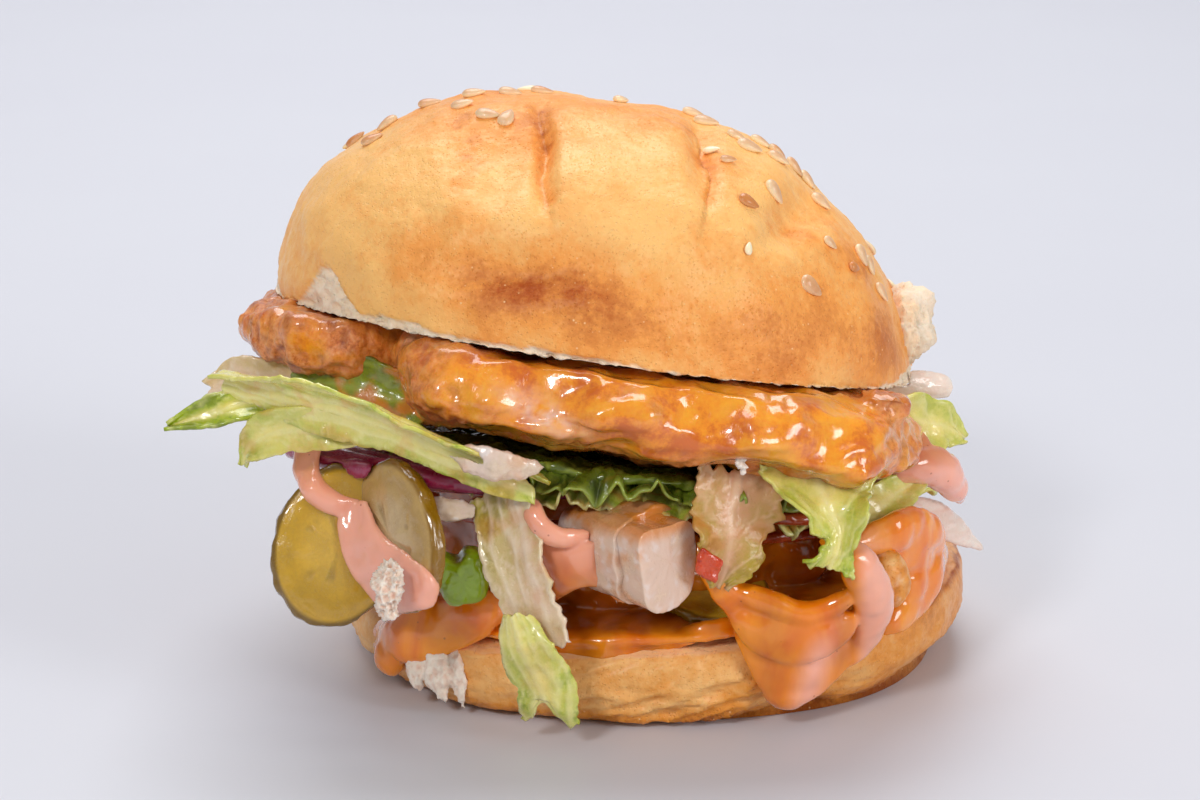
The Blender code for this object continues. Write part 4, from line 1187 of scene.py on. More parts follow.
@dataclass
class Heel:
    """The lower half of the bun, with its wrinkles, its soaked top and its torn tuft."""

    segments: int = 460
    rings: int = 130
    wrinkle: float = 0.75
    tuft: tuple[tuple[tuple[float, ...], ...], ...] = (
        ((-30.7, -34.5, 9.6, 3, 2), (-30.2, -37.2, 6, 2.4, 1.6), (-28.8, -38.6, 2.2, 0.8, 0.7)),
        ((-27.8, -35.8, 10.2, 2.4, 1.6), (-27, -38, 6, 1.6, 1.2), (-26, -39, 0.8, 0.4, 0.4)),
        ((-33.2, -32.6, 8.6, 2.4, 1.7), (-33.6, -35, 5.6, 1.7, 1.2), (-32.6, -36.2, 3, 0.5, 0.5)),
    )

    def skin(self, theta: float, phi: float) -> Vector:
        """A point of the heel: phi is 90 degrees in the middle of the top and 0 at the belly."""
        radius = superellipse(theta, HEEL_RADIUS_X, HEEL_RADIUS_Y, 2.15) + uneven(theta, 0.6, 0.9)
        radius += 0.7 * toward(theta, -128, 0.12)
        spread = max(0, cos(phi)) ** (0.35 if phi > 0 else 0.5)
        x = HEEL_CENTRE.x + radius * spread * cos(theta)
        y = HEEL_CENTRE.y + radius * spread * sin(theta)
        belly = HEEL_BELLY + 2.2 * cos(theta) - 0.4 * sin(theta)
        if phi >= 0:
            z = belly + (heel_top(x, y) - belly) * sin(phi) ** 0.45
        else:
            under = min(1, -sin(phi) / HEEL_FOOT)
            z = belly * (1 - under) ** 1.4
        return Vector((x, y, z))

    def relief(self, point: Vector, normal: Vector) -> float:
        """The wrinkles and fine crust of the side."""
        side = ease(hypot(normal.x, normal.y), 0.35, 0.8)
        slanted = Vector((point.x * 0.09, point.y * 0.09, point.z * 0.42 - 0.10 * point.x))
        folds = 1 - abs(noise.noise(slanted * 1.3 + Vector((3.1, 0, 0))) * 2.6)
        folds += 0.5 * (1 - abs(noise.noise(slanted * 2.9)) * 2.6)
        low = 1 - ease(point.z, 7, 13)
        front = 0.3 + 0.7 * hump(point.x, 8, 24)
        wrinkles = self.wrinkle * folds * side * low * front
        tuck = 2 * hump(point.x, 23, 8) + 2.4 * ease(point.x, 28, 44)
        tuck *= (1 - ease(point.z, 1.5, 8)) * (point.y < 0)
        return wrinkles - tuck + rough(point, 5, 0.22, 1) - (1 - side) * 0.25 * bubbles(point, 2)

    def build(self) -> bpy.types.Object:
        """The heel and its torn tuft.

        Returns:
            The crust, which stands for the heel's solid.
        """
        bm = ball(self.segments, self.rings, self.skin)
        carve(bm, lambda point, normal: self.relief(point, normal) if point.z > 0.25 else 0)
        for vert in bm.verts:
            vert.co.z = max(0, vert.co.z)
        paint(bm,
              torn=lambda point, normal: 0.3 * ease(normal.z, 0.75, 0.95) * (point.z > 10),
              toast=self.toast)
        crust = piece("heel_crust", bm, Finishes.heel, Slot.HEEL_CRUST, "heel")
        self.build_tuft()
        return crust

    def toast(self, point: Vector, normal: Vector) -> float:
        """How brown the heel is: creamy at its left, golden at its right and below."""
        below = 0.5 * (1 - ease(point.z, 0.5, 4.5))
        right = 0.35 * ease(point.x, -10, 40)
        edge = 0.5 * ease(point.z, 12.6, 14) * (1 - ease(normal.z, 0.75, 0.95))
        return 0.12 + below + right + edge + rough(point, 9, 0.25, 5)

    def build_tuft(self) -> None:
        """White crumb that hangs out of a tear at the heel's left front."""
        strands = [strand(spine, 0, 16, 16, blunt=3) for spine in self.tuft]
        bm = skinned(joined(strands), 0.35, 1)

        def pull(point: Vector, normal: Vector) -> float:
            """Threads that run down, with holes between them."""
            drawn = Vector((point.x, point.y, point.z * 0.4))
            return rough(drawn, 1.4, 0.5, 2) - 0.4 * (1 - bubbles(point, 1, 5))

        carve(bm, pull)
        for vert in bm.verts:
            vert.co.z = max(0.15, vert.co.z)
        # The crumb is painted darker in its holes, as painted shade.
        paint(bm, hollow=lambda point, _: 0.5 - 0.5 * bubbles(point, 1.3, 5))
        piece("heel_tuft", bm, Finishes.crumb, Slot.HEEL_CRUST)


@dataclass
class Chicken:
    """The two glazed fillets."""

    cell: float = 0.55

    def lift(self, point: Vector) -> float:
        """How far the top edge swells up to meet the crown's rim."""
        under = crown_floor(point.x, point.y) - point.z
        return 0.75 * under * (1 - ease(under, 1.5, 5.5))

    def craggy(self, point: Vector) -> float:
        """Where rough breading shows through the glaze, from 0 to 1."""
        left = ease(-point.x, 16, 32)
        low = ease(crown_floor(point.x, point.y) - point.z, 9, 12.5) * 0.7
        nub = ease(point.x, 26, 36) * 0.5
        patch = rough(point, 8, 0.8, 12)
        return min(1, max(0, max(left, low, nub) * 0.8 + patch - 0.1))

    def relief(self, point: Vector, normal: Vector) -> float:
        """Slow swells of glaze and sharp crags of breading."""
        crag = self.craggy(point)
        swell = rough(point, 10, 0.9, 2, 2) + rough(point, 3.6, 0.16, 3, 2)
        flow = Vector((0.6 * point.x, point.y, 1.2 * point.z - 0.15 * point.x))
        swell += 0.45 * (1 - abs(noise.noise(flow / 4.5)) * 2.5)
        swell += 1.5 * ease(-point.x, 24, 31) * ease(-point.y, 26, 34)
        sharp = 1 - abs(noise.noise(point / 2.1)) * 2.6
        return swell + crag * (0.6 * sharp + rough(point, 1.5, 0.5, 7, 3))

    def build(self) -> None:
        """Both fillets, each standing for its solid."""
        for node in ("fillet", "fillet_strip"):
            bm = skinned(cad_copy(node), self.cell, 3)
            for vert in bm.verts:
                vert.co.z += self.lift(vert.co)
            carve(bm, self.relief)
            bmesh.ops.smooth_vert(bm, verts=bm.verts, factor=0.4,
                                  use_axis_x=True, use_axis_y=True, use_axis_z=True)
            # The third value painted here is painted shade for the crags, the crown's edge and the underside.
            paint(bm, crag=lambda point, _: self.craggy(point), hollow=self.hollow, pale=self.pale)
            piece(f"{node}_glazed", bm, Finishes.chicken, Slot.CHICKEN, node)

    def hollow(self, point: Vector, normal: Vector) -> float:
        """Painted shade: darker in the crags, under the crown's edge and below."""
        under = 1 - ease(crown_floor(point.x, point.y) - point.z, 0.2, 2.2)
        pits = ease(abs(noise.noise(point / 2.1)) * 2.6, 0.75, 1.3) * self.craggy(point)
        below = ease(-normal.z, 0.3, 0.9)
        return min(0.7, 0.35 * under + 0.5 * pits + 0.4 * below)

    def pale(self, point: Vector, normal: Vector) -> float:
        """Patches where the meat or a dry crust shows."""
        across = point.z - 50.4 + 0.45 * (point.x + 14.6)
        front = hump(point.x, -14.5, 4.4) * hump(across, 0, 1.7) * ease(-point.y, 30, 44)
        spots = 0.3 * ease(rough(point, 5, 1, 21), 0.5, 0.7) * self.craggy(point)
        return min(0.95, 1.3 * front * (0.7 + rough(point, 2, 0.8, 4)) + spots)


@dataclass(frozen=True)
class Leaf:
    """A torn strip of lettuce along a spine of (x, y, z, half width)."""

    node: str
    spine: tuple[tuple[float, float, float, float], ...]
    roll: tuple[float, float]
    cup: float
    ruffle: float
    seed: float
    finish: Finish = Finishes.lettuce
    slot: Slot = Slot.LETTUCE
    green: tuple[float, float] = (0.4, 0.7)
    rib: float = 0
    ridge: float = 0.5
    ragged: float = 0.12
    crinkle: float = 0.5
    stain: float = 0
    frill: float = 0
    ribs: int = 0
    fork: float = 0

    def length(self) -> float:
        """About how long the leaf is, in millimetres."""
        ends = zip(self.spine, self.spine[1:])
        return sum((Vector(b[:3]) - Vector(a[:3])).length for a, b in ends)

    def veins(self, t: float, v: float) -> float:
        """1 on the rib and on the side veins that leave it."""
        off = v - self.rib - 0.08 * sin(5 * t + self.seed)
        rib = hump(off, 0, 0.11) * (1 - 0.5 * t)
        run = self.length() * t / 6.5 + abs(off) * 1.1 + 0.35 * noise.noise(Vector((6 * t, 3 * v, self.seed)))
        side = 1 - ease(abs((run % 1) - 0.5), 0.02, 0.10)
        web = noise.noise(Vector((self.length() * t / 3, 3.4 * v, self.seed + 7)))
        small = 1 - ease(abs(web), 0.02, 0.10)
        found = max(rib, 0.6 * side * ease(abs(off), 0.05, 0.3), 0.3 * small)
        if self.ribs:
            wander = 0.25 * noise.noise(Vector((4 * t, 2 * v, self.seed)))
            found = max(found, 0.9 * (0.5 + 0.5 * cos(pi * self.ribs * (v + wander))) ** 3)
        return found

    def place(self, t: float, v: float) -> Vector:
        """A point of the leaf, at t along it and v from -1 to 1 across it."""
        half = max(0.3, curve_at(self.spine, t)[3])
        here, across, out = frame_at(self.spine, t, radians(self.roll[0] + (self.roll[1] - self.roll[0]) * t))
        ragged = 1 + 0.10 * noise.noise(Vector((5 * t, 3 * v, self.seed)))
        edge = abs(v) ** 3
        side = copysign(4, v)
        steps = self.length() * t
        ragged += self.ragged * edge * noise.noise(Vector((steps / 2.6, side, self.seed)))
        ragged += 0.5 * self.ragged * edge * noise.noise(Vector((steps / 0.9, side, self.seed + 3)))
        wave = self.ruffle * abs(v) ** 1.5 * sin(11 * t + 2.2 * self.seed + v)
        wave += 0.5 * self.ruffle * noise.noise(Vector((3 * t, 1.5 * v, 4 * self.seed)))
        wave += self.frill * abs(v) ** 2 * noise.noise(Vector((steps / 2.4, side, self.seed + 9)))
        point = here + across * half * v * ragged + out * (self.cup * abs(v) ** 1.6 + wave)
        relief = rough(point, 4.5, self.crinkle, self.seed, 3) + self.ridge * 0.5 * self.veins(t, v)
        end = (ease(t, 0.93, 1) - ease(t, 0.07, 0)) * 1.2
        run = across.cross(out)
        teeth = end * noise.noise(Vector((v * half / 1.2, 0, self.seed)))
        teeth -= self.fork * hump(v, 0.1, 0.38) * ease(t, 0.7, 1)
        return point + out * relief - run * teeth

    def build(self) -> bpy.types.Object:
        """The leaf, standing for its solid."""
        long = max(24, int(self.length() / 0.42))
        wide = max(10, int(2 * max(point[3] for point in self.spine) / 0.42))
        bm = bmesh.new()
        bmesh.ops.create_grid(bm, x_segments=long, y_segments=wide, size=1)
        layers = {name: bm.verts.layers.float.new(name) for name in ("green", "vein", "stain")}
        for vert in bm.verts:
            t, v = (vert.co.x + 1) / 2, vert.co.y
            vert[layers["vein"]] = self.veins(t, v)
            base = self.green[0] + (self.green[1] - self.green[0]) * t
            vert[layers["green"]] = base * ease(abs(v - self.rib), 0, 0.7) + 0.25 * base
            vert.co = self.place(t, v)
            cloud = ease(rough(vert.co, 5, 1, self.seed + 30), 0, 0.5)
            vert[layers["stain"]] = self.stain * cloud
        return piece(f"{self.node}_sheet", bm, self.finish, self.slot, self.node, wall=0.55)


@dataclass
class Salad:
    """All the lettuce: the leaves that hang out, and the frilled layers that run through."""

    leaves: tuple[Leaf, ...] = (
        Leaf("leaf_long",
             ((-59.8, -36, 52, 1.9), (-54.3, -40, 51.6, 3.2), (-48.6, -44, 51.2, 4.4),
              (-42.8, -46.6, 50.8, 4.8), (-36.4, -48, 49.2, 4.8), (-30, -49.4, 46.4, 4.3),
              (-23.1, -49, 43, 3.6), (-14.4, -46.4, 39.4, 2.2)),
             (-30, -22), 2.6, 0.7, 1, green=(0.25, 0.65), rib=0.35, ridge=0.7, stain=0.35, crinkle=0.4,
             fork=2.6, ribs=3),
        Leaf("leaf_tip",
             ((-47, -30, 45.8, 2), (-54.5, -32, 46.8, 2.9), (-61.9, -34, 45.4, 2.4),
              (-68.8, -34.5, 43.3, 0.4)),
             (-10, 12), 0.9, 0.3, 2, green=(0.5, 1), ridge=0.6, crinkle=0.25),
        Leaf("leaf_lobe",
             ((-38, -44.8, 46.2, 2.2), (-45, -44.6, 46.2, 3), (-51.2, -42.4, 45.3, 3.4),
              (-55.8, -39.6, 42.2, 2.6), (-57.2, -38.8, 39, 0.7)),
             (14, 4), 0.8, 0.5, 3, green=(0.15, 0.55), stain=0.3, crinkle=0.35),
        Leaf("leaf_pale",
             ((-48, -26.5, 46.6, 3), (-53.6, -26, 46.9, 4.3), (-59.2, -25, 47, 4.2),
              (-64, -24, 45.6, 1.6)),
             (-16, 6), 0.8, 0.5, 12, Finishes.rib, Slot.RIB, green=(0.1, 0.3)),
        Leaf("leaf_hung_upper",
             ((-20.5, -43.6, 36.4, 4.6), (-18.9, -46.6, 29.4, 5), (-16.6, -49.2, 22.7, 4.8),
              (-13.8, -50.6, 15.2, 4.6)),
             (8, -8), 0.6, 0.5, 4, Finishes.rib, Slot.RIB, green=(0.9, 0.05), rib=-0.5, stain=0.3,
             ribs=4, ridge=0.25, ragged=0.2, crinkle=0.4),
        Leaf("leaf_hung_lower",
             ((-18.6, -51.9, 20.6, 2), (-16.8, -52.8, 15.4, 4.4), (-14.2, -52.4, 9.6, 4.4),
              (-13.4, -51, 3.6, 4.4)),
             (-6, 6), -0.8, 0.5, 5, green=(0.25, 0.65), stain=0.12, ribs=5, fork=4.6, ragged=0.16,
             crinkle=0.45),
        Leaf("leaf_behind",
             ((13.6, -43.6, 39.4, 6.4), (12.8, -46.4, 33.6, 6.4), (12, -47.6, 28.6, 4.8),
              (10.4, -48, 23.6, 1.6)),
             (0, 12), 1, 1, 6, Finishes.soaked, Slot.RIB, green=(0.3, 1), stain=0.4, ragged=0.34,
             crinkle=0.4, frill=1),
        Leaf("leaf_right",
             ((24.6, -42.6, 40.6, 9.6), (26.2, -46.8, 35.6, 6.4), (27.6, -48.4, 31, 2.4),
              (26, -48.8, 26.8, 4.2)),
             (0, -10), 1.6, 1.2, 7, green=(0.3, 0.75), ragged=0.3, frill=1.8, crinkle=0.7),
        Leaf("leaf_curl",
             ((42.6, -22.5, 32.6, 1.2), (37.6, -27.5, 31.2, 2.6), (32, -33, 29.6, 3),
              (26.6, -37, 29.4, 1.6)),
             (-30, -45), 1, 0.5, 8, green=(0.2, 0.9), stain=0.2),
        Leaf("leaf_far_right",
             ((36, -17, 39, 3.6), (41.4, -16, 38.4, 4.6), (45.4, -13, 37, 3.6),
              (49.4, -10, 34.4, 1)),
             (-10, 14), 0.6, 0.7, 9, green=(0.3, 0.5), frill=0.8),
        Leaf("leaf_dark_left",
             ((-31, -35, 46.6, 3.6), (-41, -33, 48.6, 4.6), (-51, -28, 48.4, 2.6)),
             (-24, -14), 0.7, 0.9, 10, Finishes.dark_lettuce, Slot.DARK_LETTUCE, green=(0.2, 0.6),
             stain=0.85, frill=0.8),
    )
    back_turns: tuple[int, ...] = (20, 62, 100, 141, 178)

    def back_leaf(self, i: int, degrees: float) -> Leaf:
        """A lettuce edge that sticks out at the back, at this angle."""
        angle, swing = radians(degrees), radians(15)
        spine = []
        for turn, out, half in ((-1, 38.5, 1.2), (-0.35, 44, 4.2), (0.4, 44.5, 4.6), (1, 39.5, 1)):
            x = 1 + out * cos(angle + turn * swing)
            y = out * sin(angle + turn * swing)
            spine.append((x, y, level(x, y, 0.55 + 0.08 * turn), half))
        return Leaf(f"leaf_back_{i}", tuple(spine), (58, 74), 0.5, 1, 11 + i,
                    green=(0.4, 0.8), ragged=0.2, frill=1.2)

    def frill(self, centre: tuple[float, float], radii: tuple[float, float], share: float,
              width: float, droop: float, wave: float, seed: float) -> Mesh:
        """A ruffled leaf edge all the way round a layer.

        Args:
            centre: the layer's middle.
            radii: how far the edge reaches.
            share: its height, as a share of the space over the heel.
            width: how wide the ruffled band is.
            droop: how far its edge hangs down.
            wave: how far it waves.
            seed: for its uneven form.

        Returns:
            The band, painted for a leaf's finish.
        """
        bm = bmesh.new()
        bmesh.ops.create_grid(bm, x_segments=700, y_segments=20, size=1)
        layers = {label: bm.verts.layers.float.new(label) for label in ("green", "vein", "stain")}
        for vert in bm.verts:
            theta, v = pi * vert.co.x, (vert.co.y + 1) / 2
            around = Vector((cos(theta), sin(theta), 0))
            reach = superellipse(theta, *radii, 2.2) + uneven(theta, seed, 1.2) - self.held_back(theta, share)
            ragged = 2.6 * noise.noise(around * 6 + Vector((0, 0, seed)))
            ragged += 1.2 * noise.noise(around * 24 + Vector((0, 0, seed)))
            out = reach - width + v * (width + ragged)
            ruffle = noise.noise(around * 6.5 + Vector((v * 0.8, 0, seed + 5)))
            wander = 3 * noise.noise(around * 5 + Vector((seed, 0, 0)))
            small = noise.noise(around * 13 + Vector((0, v * 1.6, seed + 8 + wander)))
            small *= 0.4 + 1.8 * abs(noise.noise(around * 4 + Vector((0, seed, 0))))
            curl = noise.noise(around * 26 + Vector((2 * v, wander, seed + 2)))
            twist = theta + 0.05 * v * noise.noise(around * 11 + Vector((0, 0, seed + 1)))
            x = centre[0] + (out + 1.8 * v * curl) * cos(twist)
            y = centre[1] + (out + 1.8 * v * curl) * sin(twist)
            z = level(x, y, share) - droop * v**1.6
            z += wave * v**1.2 * (1.8 * ruffle + 2.8 * small + 1.5 * curl)
            vein = 1 - ease(abs(noise.noise(around * 15 + Vector((0, 1.4 * v, seed)))), 0.01, 0.09)
            # The pale band at the frill's outer edge is a painted highlight.
            vert[layers["vein"]] = max(0.6 * vein * (1 - 0.5 * v), ease(v, 0.86, 1) * 0.9)
            vert[layers["green"]] = 0.25 + 0.6 * v
            vert[layers["stain"]] = 0.5 * ease(rough(vert.co * 20, 5, 1, seed), 0.2, 0.6)
            vert.co = Vector((x, y, z + 0.25 * vein))
        bmesh.ops.remove_doubles(bm, verts=bm.verts, dist=0.05)
        return bm

    def held_back(self, theta: float, share: float) -> float:
        """How far a frill stays inside in front, where sauce and tomato show instead."""
        return 9 * toward(theta, -88, 1.1) if share < 0.5 else 4 * toward(theta, -38, 0.45)

    def core(self, node: str, finish: Finish, slot: Slot) -> None:
        """The body of a lettuce layer, behind its frills."""
        bm = skinned(cad_copy(node), 0.9, 1)
        carve(bm, lambda point, normal: rough(point, 3, 0.9, 3))
        paint(bm,
              green=0.7,
              vein=lambda point, _: ease(rough(point, 2.2, 1, 5), 0.3, 0.5),
              stain=0)
        piece(f"{node}_core", bm, finish, slot, node)

    def build(self) -> None:
        """Every leaf and both layers."""
        for leaf in self.leaves:
            leaf.build()
        for i, degrees in enumerate(self.back_turns):
            self.back_leaf(i, degrees).build()
        self.core("lettuce_top", Finishes.dark_lettuce, Slot.DARK_LETTUCE)
        self.core("lettuce_bed", Finishes.lettuce, Slot.LETTUCE)
        frills = (
            ("lettuce_top_frill", (0, -4), (41.5, 43), 0.93, 9, 2.6, 1.3, 2, Finishes.dark_lettuce,
             Slot.DARK_LETTUCE),
            ("lettuce_top_under", (0, -4), (40.5, 41.5), 0.86, 8, 3.4, 1.2, 6, Finishes.lettuce,
             Slot.LETTUCE),
            ("lettuce_bed_frill", (1, 5), (43, 35), 0.40, 8, 0.8, 1.3, 4, Finishes.lettuce,
             Slot.LETTUCE),
            ("lettuce_bed_under", (1, 5), (42.5, 34.5), 0.24, 7, 0.8, 1.2, 9, Finishes.lettuce,
             Slot.LETTUCE),
        )
        for name, centre, radii, share, width, droop, wave, seed, finish, slot in frills:
            bm = self.frill(centre, radii, share, width, droop, wave, seed)
            piece(name, bm, finish, slot, wall=0.4)


@dataclass
class Vegetables:
    """Gherkin, onion, tomato, pepper and the cut stems."""

    def gherkin(self, node: str, centre: Triple, facing: Triple,
                tall: float, wide: float, thick: float, lean: float) -> None:
        """One slice of gherkin.

        Args:
            node: the solid that it stands for.
            centre: its middle.
            facing: the direction of its cut face.
            tall: half its height.
            wide: half its width.
            thick: half its thickness.
            lean: its turn in its own plane, in radians.
        """
        normal = Vector(facing).normalized()
        side = normal.cross(Vector((0, 0, 1))).normalized()
        up = side.cross(normal)
        side, up = side * cos(lean) + up * sin(lean), up * cos(lean) - side * sin(lean)

        def place(theta: float, phi: float) -> Vector:
            """A point of the slice."""
            spread = cos(phi) ** 0.28
            reach = 1 + uneven(theta, tall, 0.018)
            point = Vector(centre) + side * wide * reach * spread * cos(theta)
            point += up * tall * reach * spread * sin(theta)
            return point + normal * thick * signed_power(sin(phi), 0.75)

        bm = ball(120, 90, place)

        def local(point: Vector) -> Triple:
            """Where a point is in the slice: along its width, its height and out of its face."""
            off = point - Vector(centre)
            return off.dot(side) / wide, off.dot(up) / tall, off.dot(normal) / thick

        def share_out(point: Vector) -> float:
            """0 in the middle of the face and 1 at the skin."""
            x, y, _ = local(point)
            return hypot(x, y)

        def seeds(point: Vector) -> float:
            """1 on the small seeds that lie in a ring."""
            x, y, _ = local(point)
            ring = hump(hypot(x, y), 0.42, 0.16)
            return ring * (1 - ease(noise.voronoi(point / 2.4)[0][0], 0.18, 0.34))

        def relief(point: Vector, outward: Vector) -> float:
            """A soft dish with seeds, and warts on the skin."""
            far = share_out(point)
            flat = abs(outward.dot(normal))
            skin = ease(far, 0.93, 1) * rough(point, 2.2, 0.35, 3)
            dish = 0.12 * flat * ease(far, 0.1, 0.9) - 0.12 * flat
            return skin + dish + flat * (0.3 * seeds(point) + rough(point, 2.5, 0.18, 8))

        carve(bm, relief)
        paint(bm,
              skin=lambda point, outward: ease(share_out(point), 0.90, 0.965),
              heart=lambda point, outward: 1 - ease(share_out(point), 0.2, 0.75),
              streak=lambda point, outward: max(0.2 * hump(share_out(point), 0.72, 0.1), seeds(point)))
        finish = Finishes.leaning if node == "pickle_leaning" else Finishes.pickle
        piece(f"{node}_slice", bm, finish, Slot.PICKLE, node)

    def through_slice(self, node: str, finish: Finish, slot: Slot, ring: float,
                      centre: tuple[float, float]) -> None:
        """A round slice that runs through the burger, with rings or pockets in its face."""
        bm = skinned(cad_copy(node), 0.6, 2)

        def rings(point: Vector) -> float:
            """A wave that runs out from the slice's middle."""
            far = hypot(point.x - centre[0], point.y - centre[1]) + rough(point, 12, 1.5, 2)
            return 0.5 + 0.5 * sin(2 * pi * far / ring)

        def ribs(point: Vector) -> float:
            """Fine upright stripes in the rim."""
            around = atan2(point.y - centre[1], point.x - centre[0])
            turned = Vector((cos(around), sin(around), 0.02 * point.z))
            return noise.noise(turned * 14) + 0.5 * noise.noise(turned * 34)

        def relief(point: Vector, normal: Vector) -> float:
            """Rings on the faces and stripes on the rim."""
            flat = ease(abs(normal.z), 0.6, 0.9)
            return flat * 0.35 * rings(point) + (1 - flat) * 0.16 * ribs(point) + rough(point, 6, 0.2, 3)

        carve(bm, relief)
        paint(bm,
              skin=lambda point, normal: (1 - ease(abs(normal.z), 0.45, 0.8)) * (0.7 + 0.5 * ribs(point)),
              heart=lambda point, _: rings(point),
              streak=lambda point, normal: max(0, ribs(point)) * (1 - ease(abs(normal.z), 0.5, 0.8)))
        piece(f"{node}_through", bm, finish, slot, node)

    def chunk(self, node: str, finish: Finish, slot: Slot, cell: float, amount: float,
              drawn: Triple = (1, 1, 1), rounds: int = 1) -> None:
        """A small cut piece with a slightly rough, fibrous skin."""
        bm = skinned(cad_copy(node), cell, rounds)

        def fibres(point: Vector) -> float:
            """Fine ridges drawn out along the piece."""
            return rough(Vector(p * d for p, d in zip(point, drawn)), 2, 1, 4)

        carve(bm, lambda point, normal: amount * fibres(point))
        if isinstance(finish, LeafFlesh):
            paint(bm,
                  green=0.15,
                  vein=lambda point, _: ease(fibres(point), 0.2, 0.6),
                  stain=lambda point, _: 0.3 * ease(rough(point, 4, 1, 9), 0, 0.6))
        else:
            paint(bm,
                  skin=lambda point, _: ease(fibres(point), -0.3, 0.2),
                  # Painted light: the flesh is lighter on faces turned up.
                  heart=lambda point, normal: 0.5 + 0.5 * normal.z,
                  streak=lambda point, _: ease(fibres(point), 0.2, 0.6))
        piece(f"{node}_cut", bm, finish, slot, node)

    def chip(self, node: str, finish: Finish, slot: Slot, centre: Triple,
             size: Triple, turn: float, corners: float, dent: float) -> None:
        """A small chopped bit of vegetable.

        Args:
            node: the solid that it stands for.
            finish: what it is made of.
            slot: the record's slot.
            centre: its middle.
            size: half its width, depth and height.
            turn: its turn as the front sees it, in radians.
            corners: under 2 for a pointed shard, over 2 for a squarer block.
            dent: how deep its top is pressed in.
        """

        def place(theta: float, phi: float) -> Vector:
            """A point of the bit's skin."""
            reach = superellipse(theta, 1, 1, corners) * abs(cos(phi)) ** 0.45
            x, z = reach * cos(theta) * size[0], reach * sin(theta) * size[2]
            z -= dent * hump(x / size[0], -0.1, 0.35) * ease(z / size[2], 0.2, 1)
            y = -size[1] * signed_power(sin(phi), 0.7)
            point = Vector((x * cos(turn) - z * sin(turn), y, x * sin(turn) + z * cos(turn)))
            return Vector(centre) + point

        bm = ball(64, 40, place)
        carve(bm, lambda point, normal: rough(point, 1.8, 0.3, 4))
        paint(bm,
              skin=lambda point, normal: ease(-normal.y, 0.2, 0.7),
              # Painted light: the flesh is lighter on faces turned up.
              heart=lambda point, normal: 0.5 + 0.5 * normal.z,
              streak=lambda point, _: ease(rough(point, 1.6, 1, 2), 0.2, 0.6))
        piece(f"{node}_chip", bm, finish, slot, node)

    def roll(self, node: str) -> None:
        """The thick leaf stem, rolled in its own skin, with its cut end to the front right."""
        spine = ((-8.6, -37, 27.6, 5, 4.2), (-3.4, -43, 27.8, 5.8, 4.9), (3.6, -50.4, 28.3, 6.2, 5.5))
        run = (Vector(spine[2][:3]) - Vector(spine[1][:3])).normalized()
        end = Vector(spine[2][:3])

        def skin(swell: float, last: float, seed: float) -> Mesh:
            """One wrap of the roll, which ends at this share of its run."""

            def place(theta: float, phi: float) -> Vector:
                """A point of the wrap."""
                t = last * (0.5 + 0.5 * sin(phi))
                here, across, out = frame_at(spine, t, 0)
                half, thick = curve_at(spine, t)[3:5]
                taper = (1 - abs(sin(phi)) ** 160) ** 0.5
                around = superellipse(theta, 1, 1, 4) * (1 + 0.05 * sin(3 * theta + seed))
                lopsided = 1 + 0.14 * cos(theta) * ease(t, 0.5, 1)
                edge = 0.9 * noise.noise(Vector((2 * cos(theta), 2 * sin(theta), seed)))
                point = here + across * (half * lopsided + swell) * around * cos(theta) * taper
                point += out * (thick + swell) * around * sin(theta) * taper
                return point + run * edge * ease(t / last, 0.6, 1) * (last < 1)

            return ball(160, 150, place)

        bm = joined([skin(0, 1, 1), skin(0.75, 0.78, 3)])

        def is_end(point: Vector, normal: Vector) -> float:
            """1 on the cut face."""
            return ease(normal.dot(run), 0.75, 0.95) * ease((point - end).dot(run), -1.2, -0.5)

        def relief(point: Vector, normal: Vector) -> float:
            """Fibres down the side, and arcs and a slit in the cut face."""
            off = point - end
            side = run.cross(Vector((0, 0, 1))).normalized()
            arc = hypot(off.dot(side) - 5, 0.8 * off.z - 3)
            cut = 0.08 * sin(3.2 * arc) - 0.9 * hump(arc, 7.6, 0.4) + rough(point, 3.4, 0.15, 6)
            along = Vector((point.dot(side) * 1, point.z, 0.25 * point.dot(run)))
            fibres = 0.10 * noise.noise(along / 0.9) + rough(point, 5, 0.25, 2, 2)
            cap = is_end(point, normal)
            return cap * cut + (1 - cap) * fibres

        carve(bm, relief)

        def veined(point: Vector, normal: Vector) -> float:
            """Pale on the cut face and along the fibres."""
            drawn = noise.noise(Vector((point.x, point.z, 0.2 * point.y)) / 0.9)
            return max(0.9 * is_end(point, normal), ease(drawn, 0.1, 0.5))

        def glazed(point: Vector, normal: Vector) -> float:
            """Sauce along the roll's top and in spots on its side."""
            spots = 0.12 + 0.35 * ease(rough(point, 4, 1, 9), 0, 0.6)
            return (1 - is_end(point, normal)) * (spots + 0.7 * ease(point.z, 31, 33.2))

        paint(bm, green=0.05, vein=veined, stain=glazed)
        piece(f"{node}_roll", bm, Finishes.stem, Slot.RIB, node)

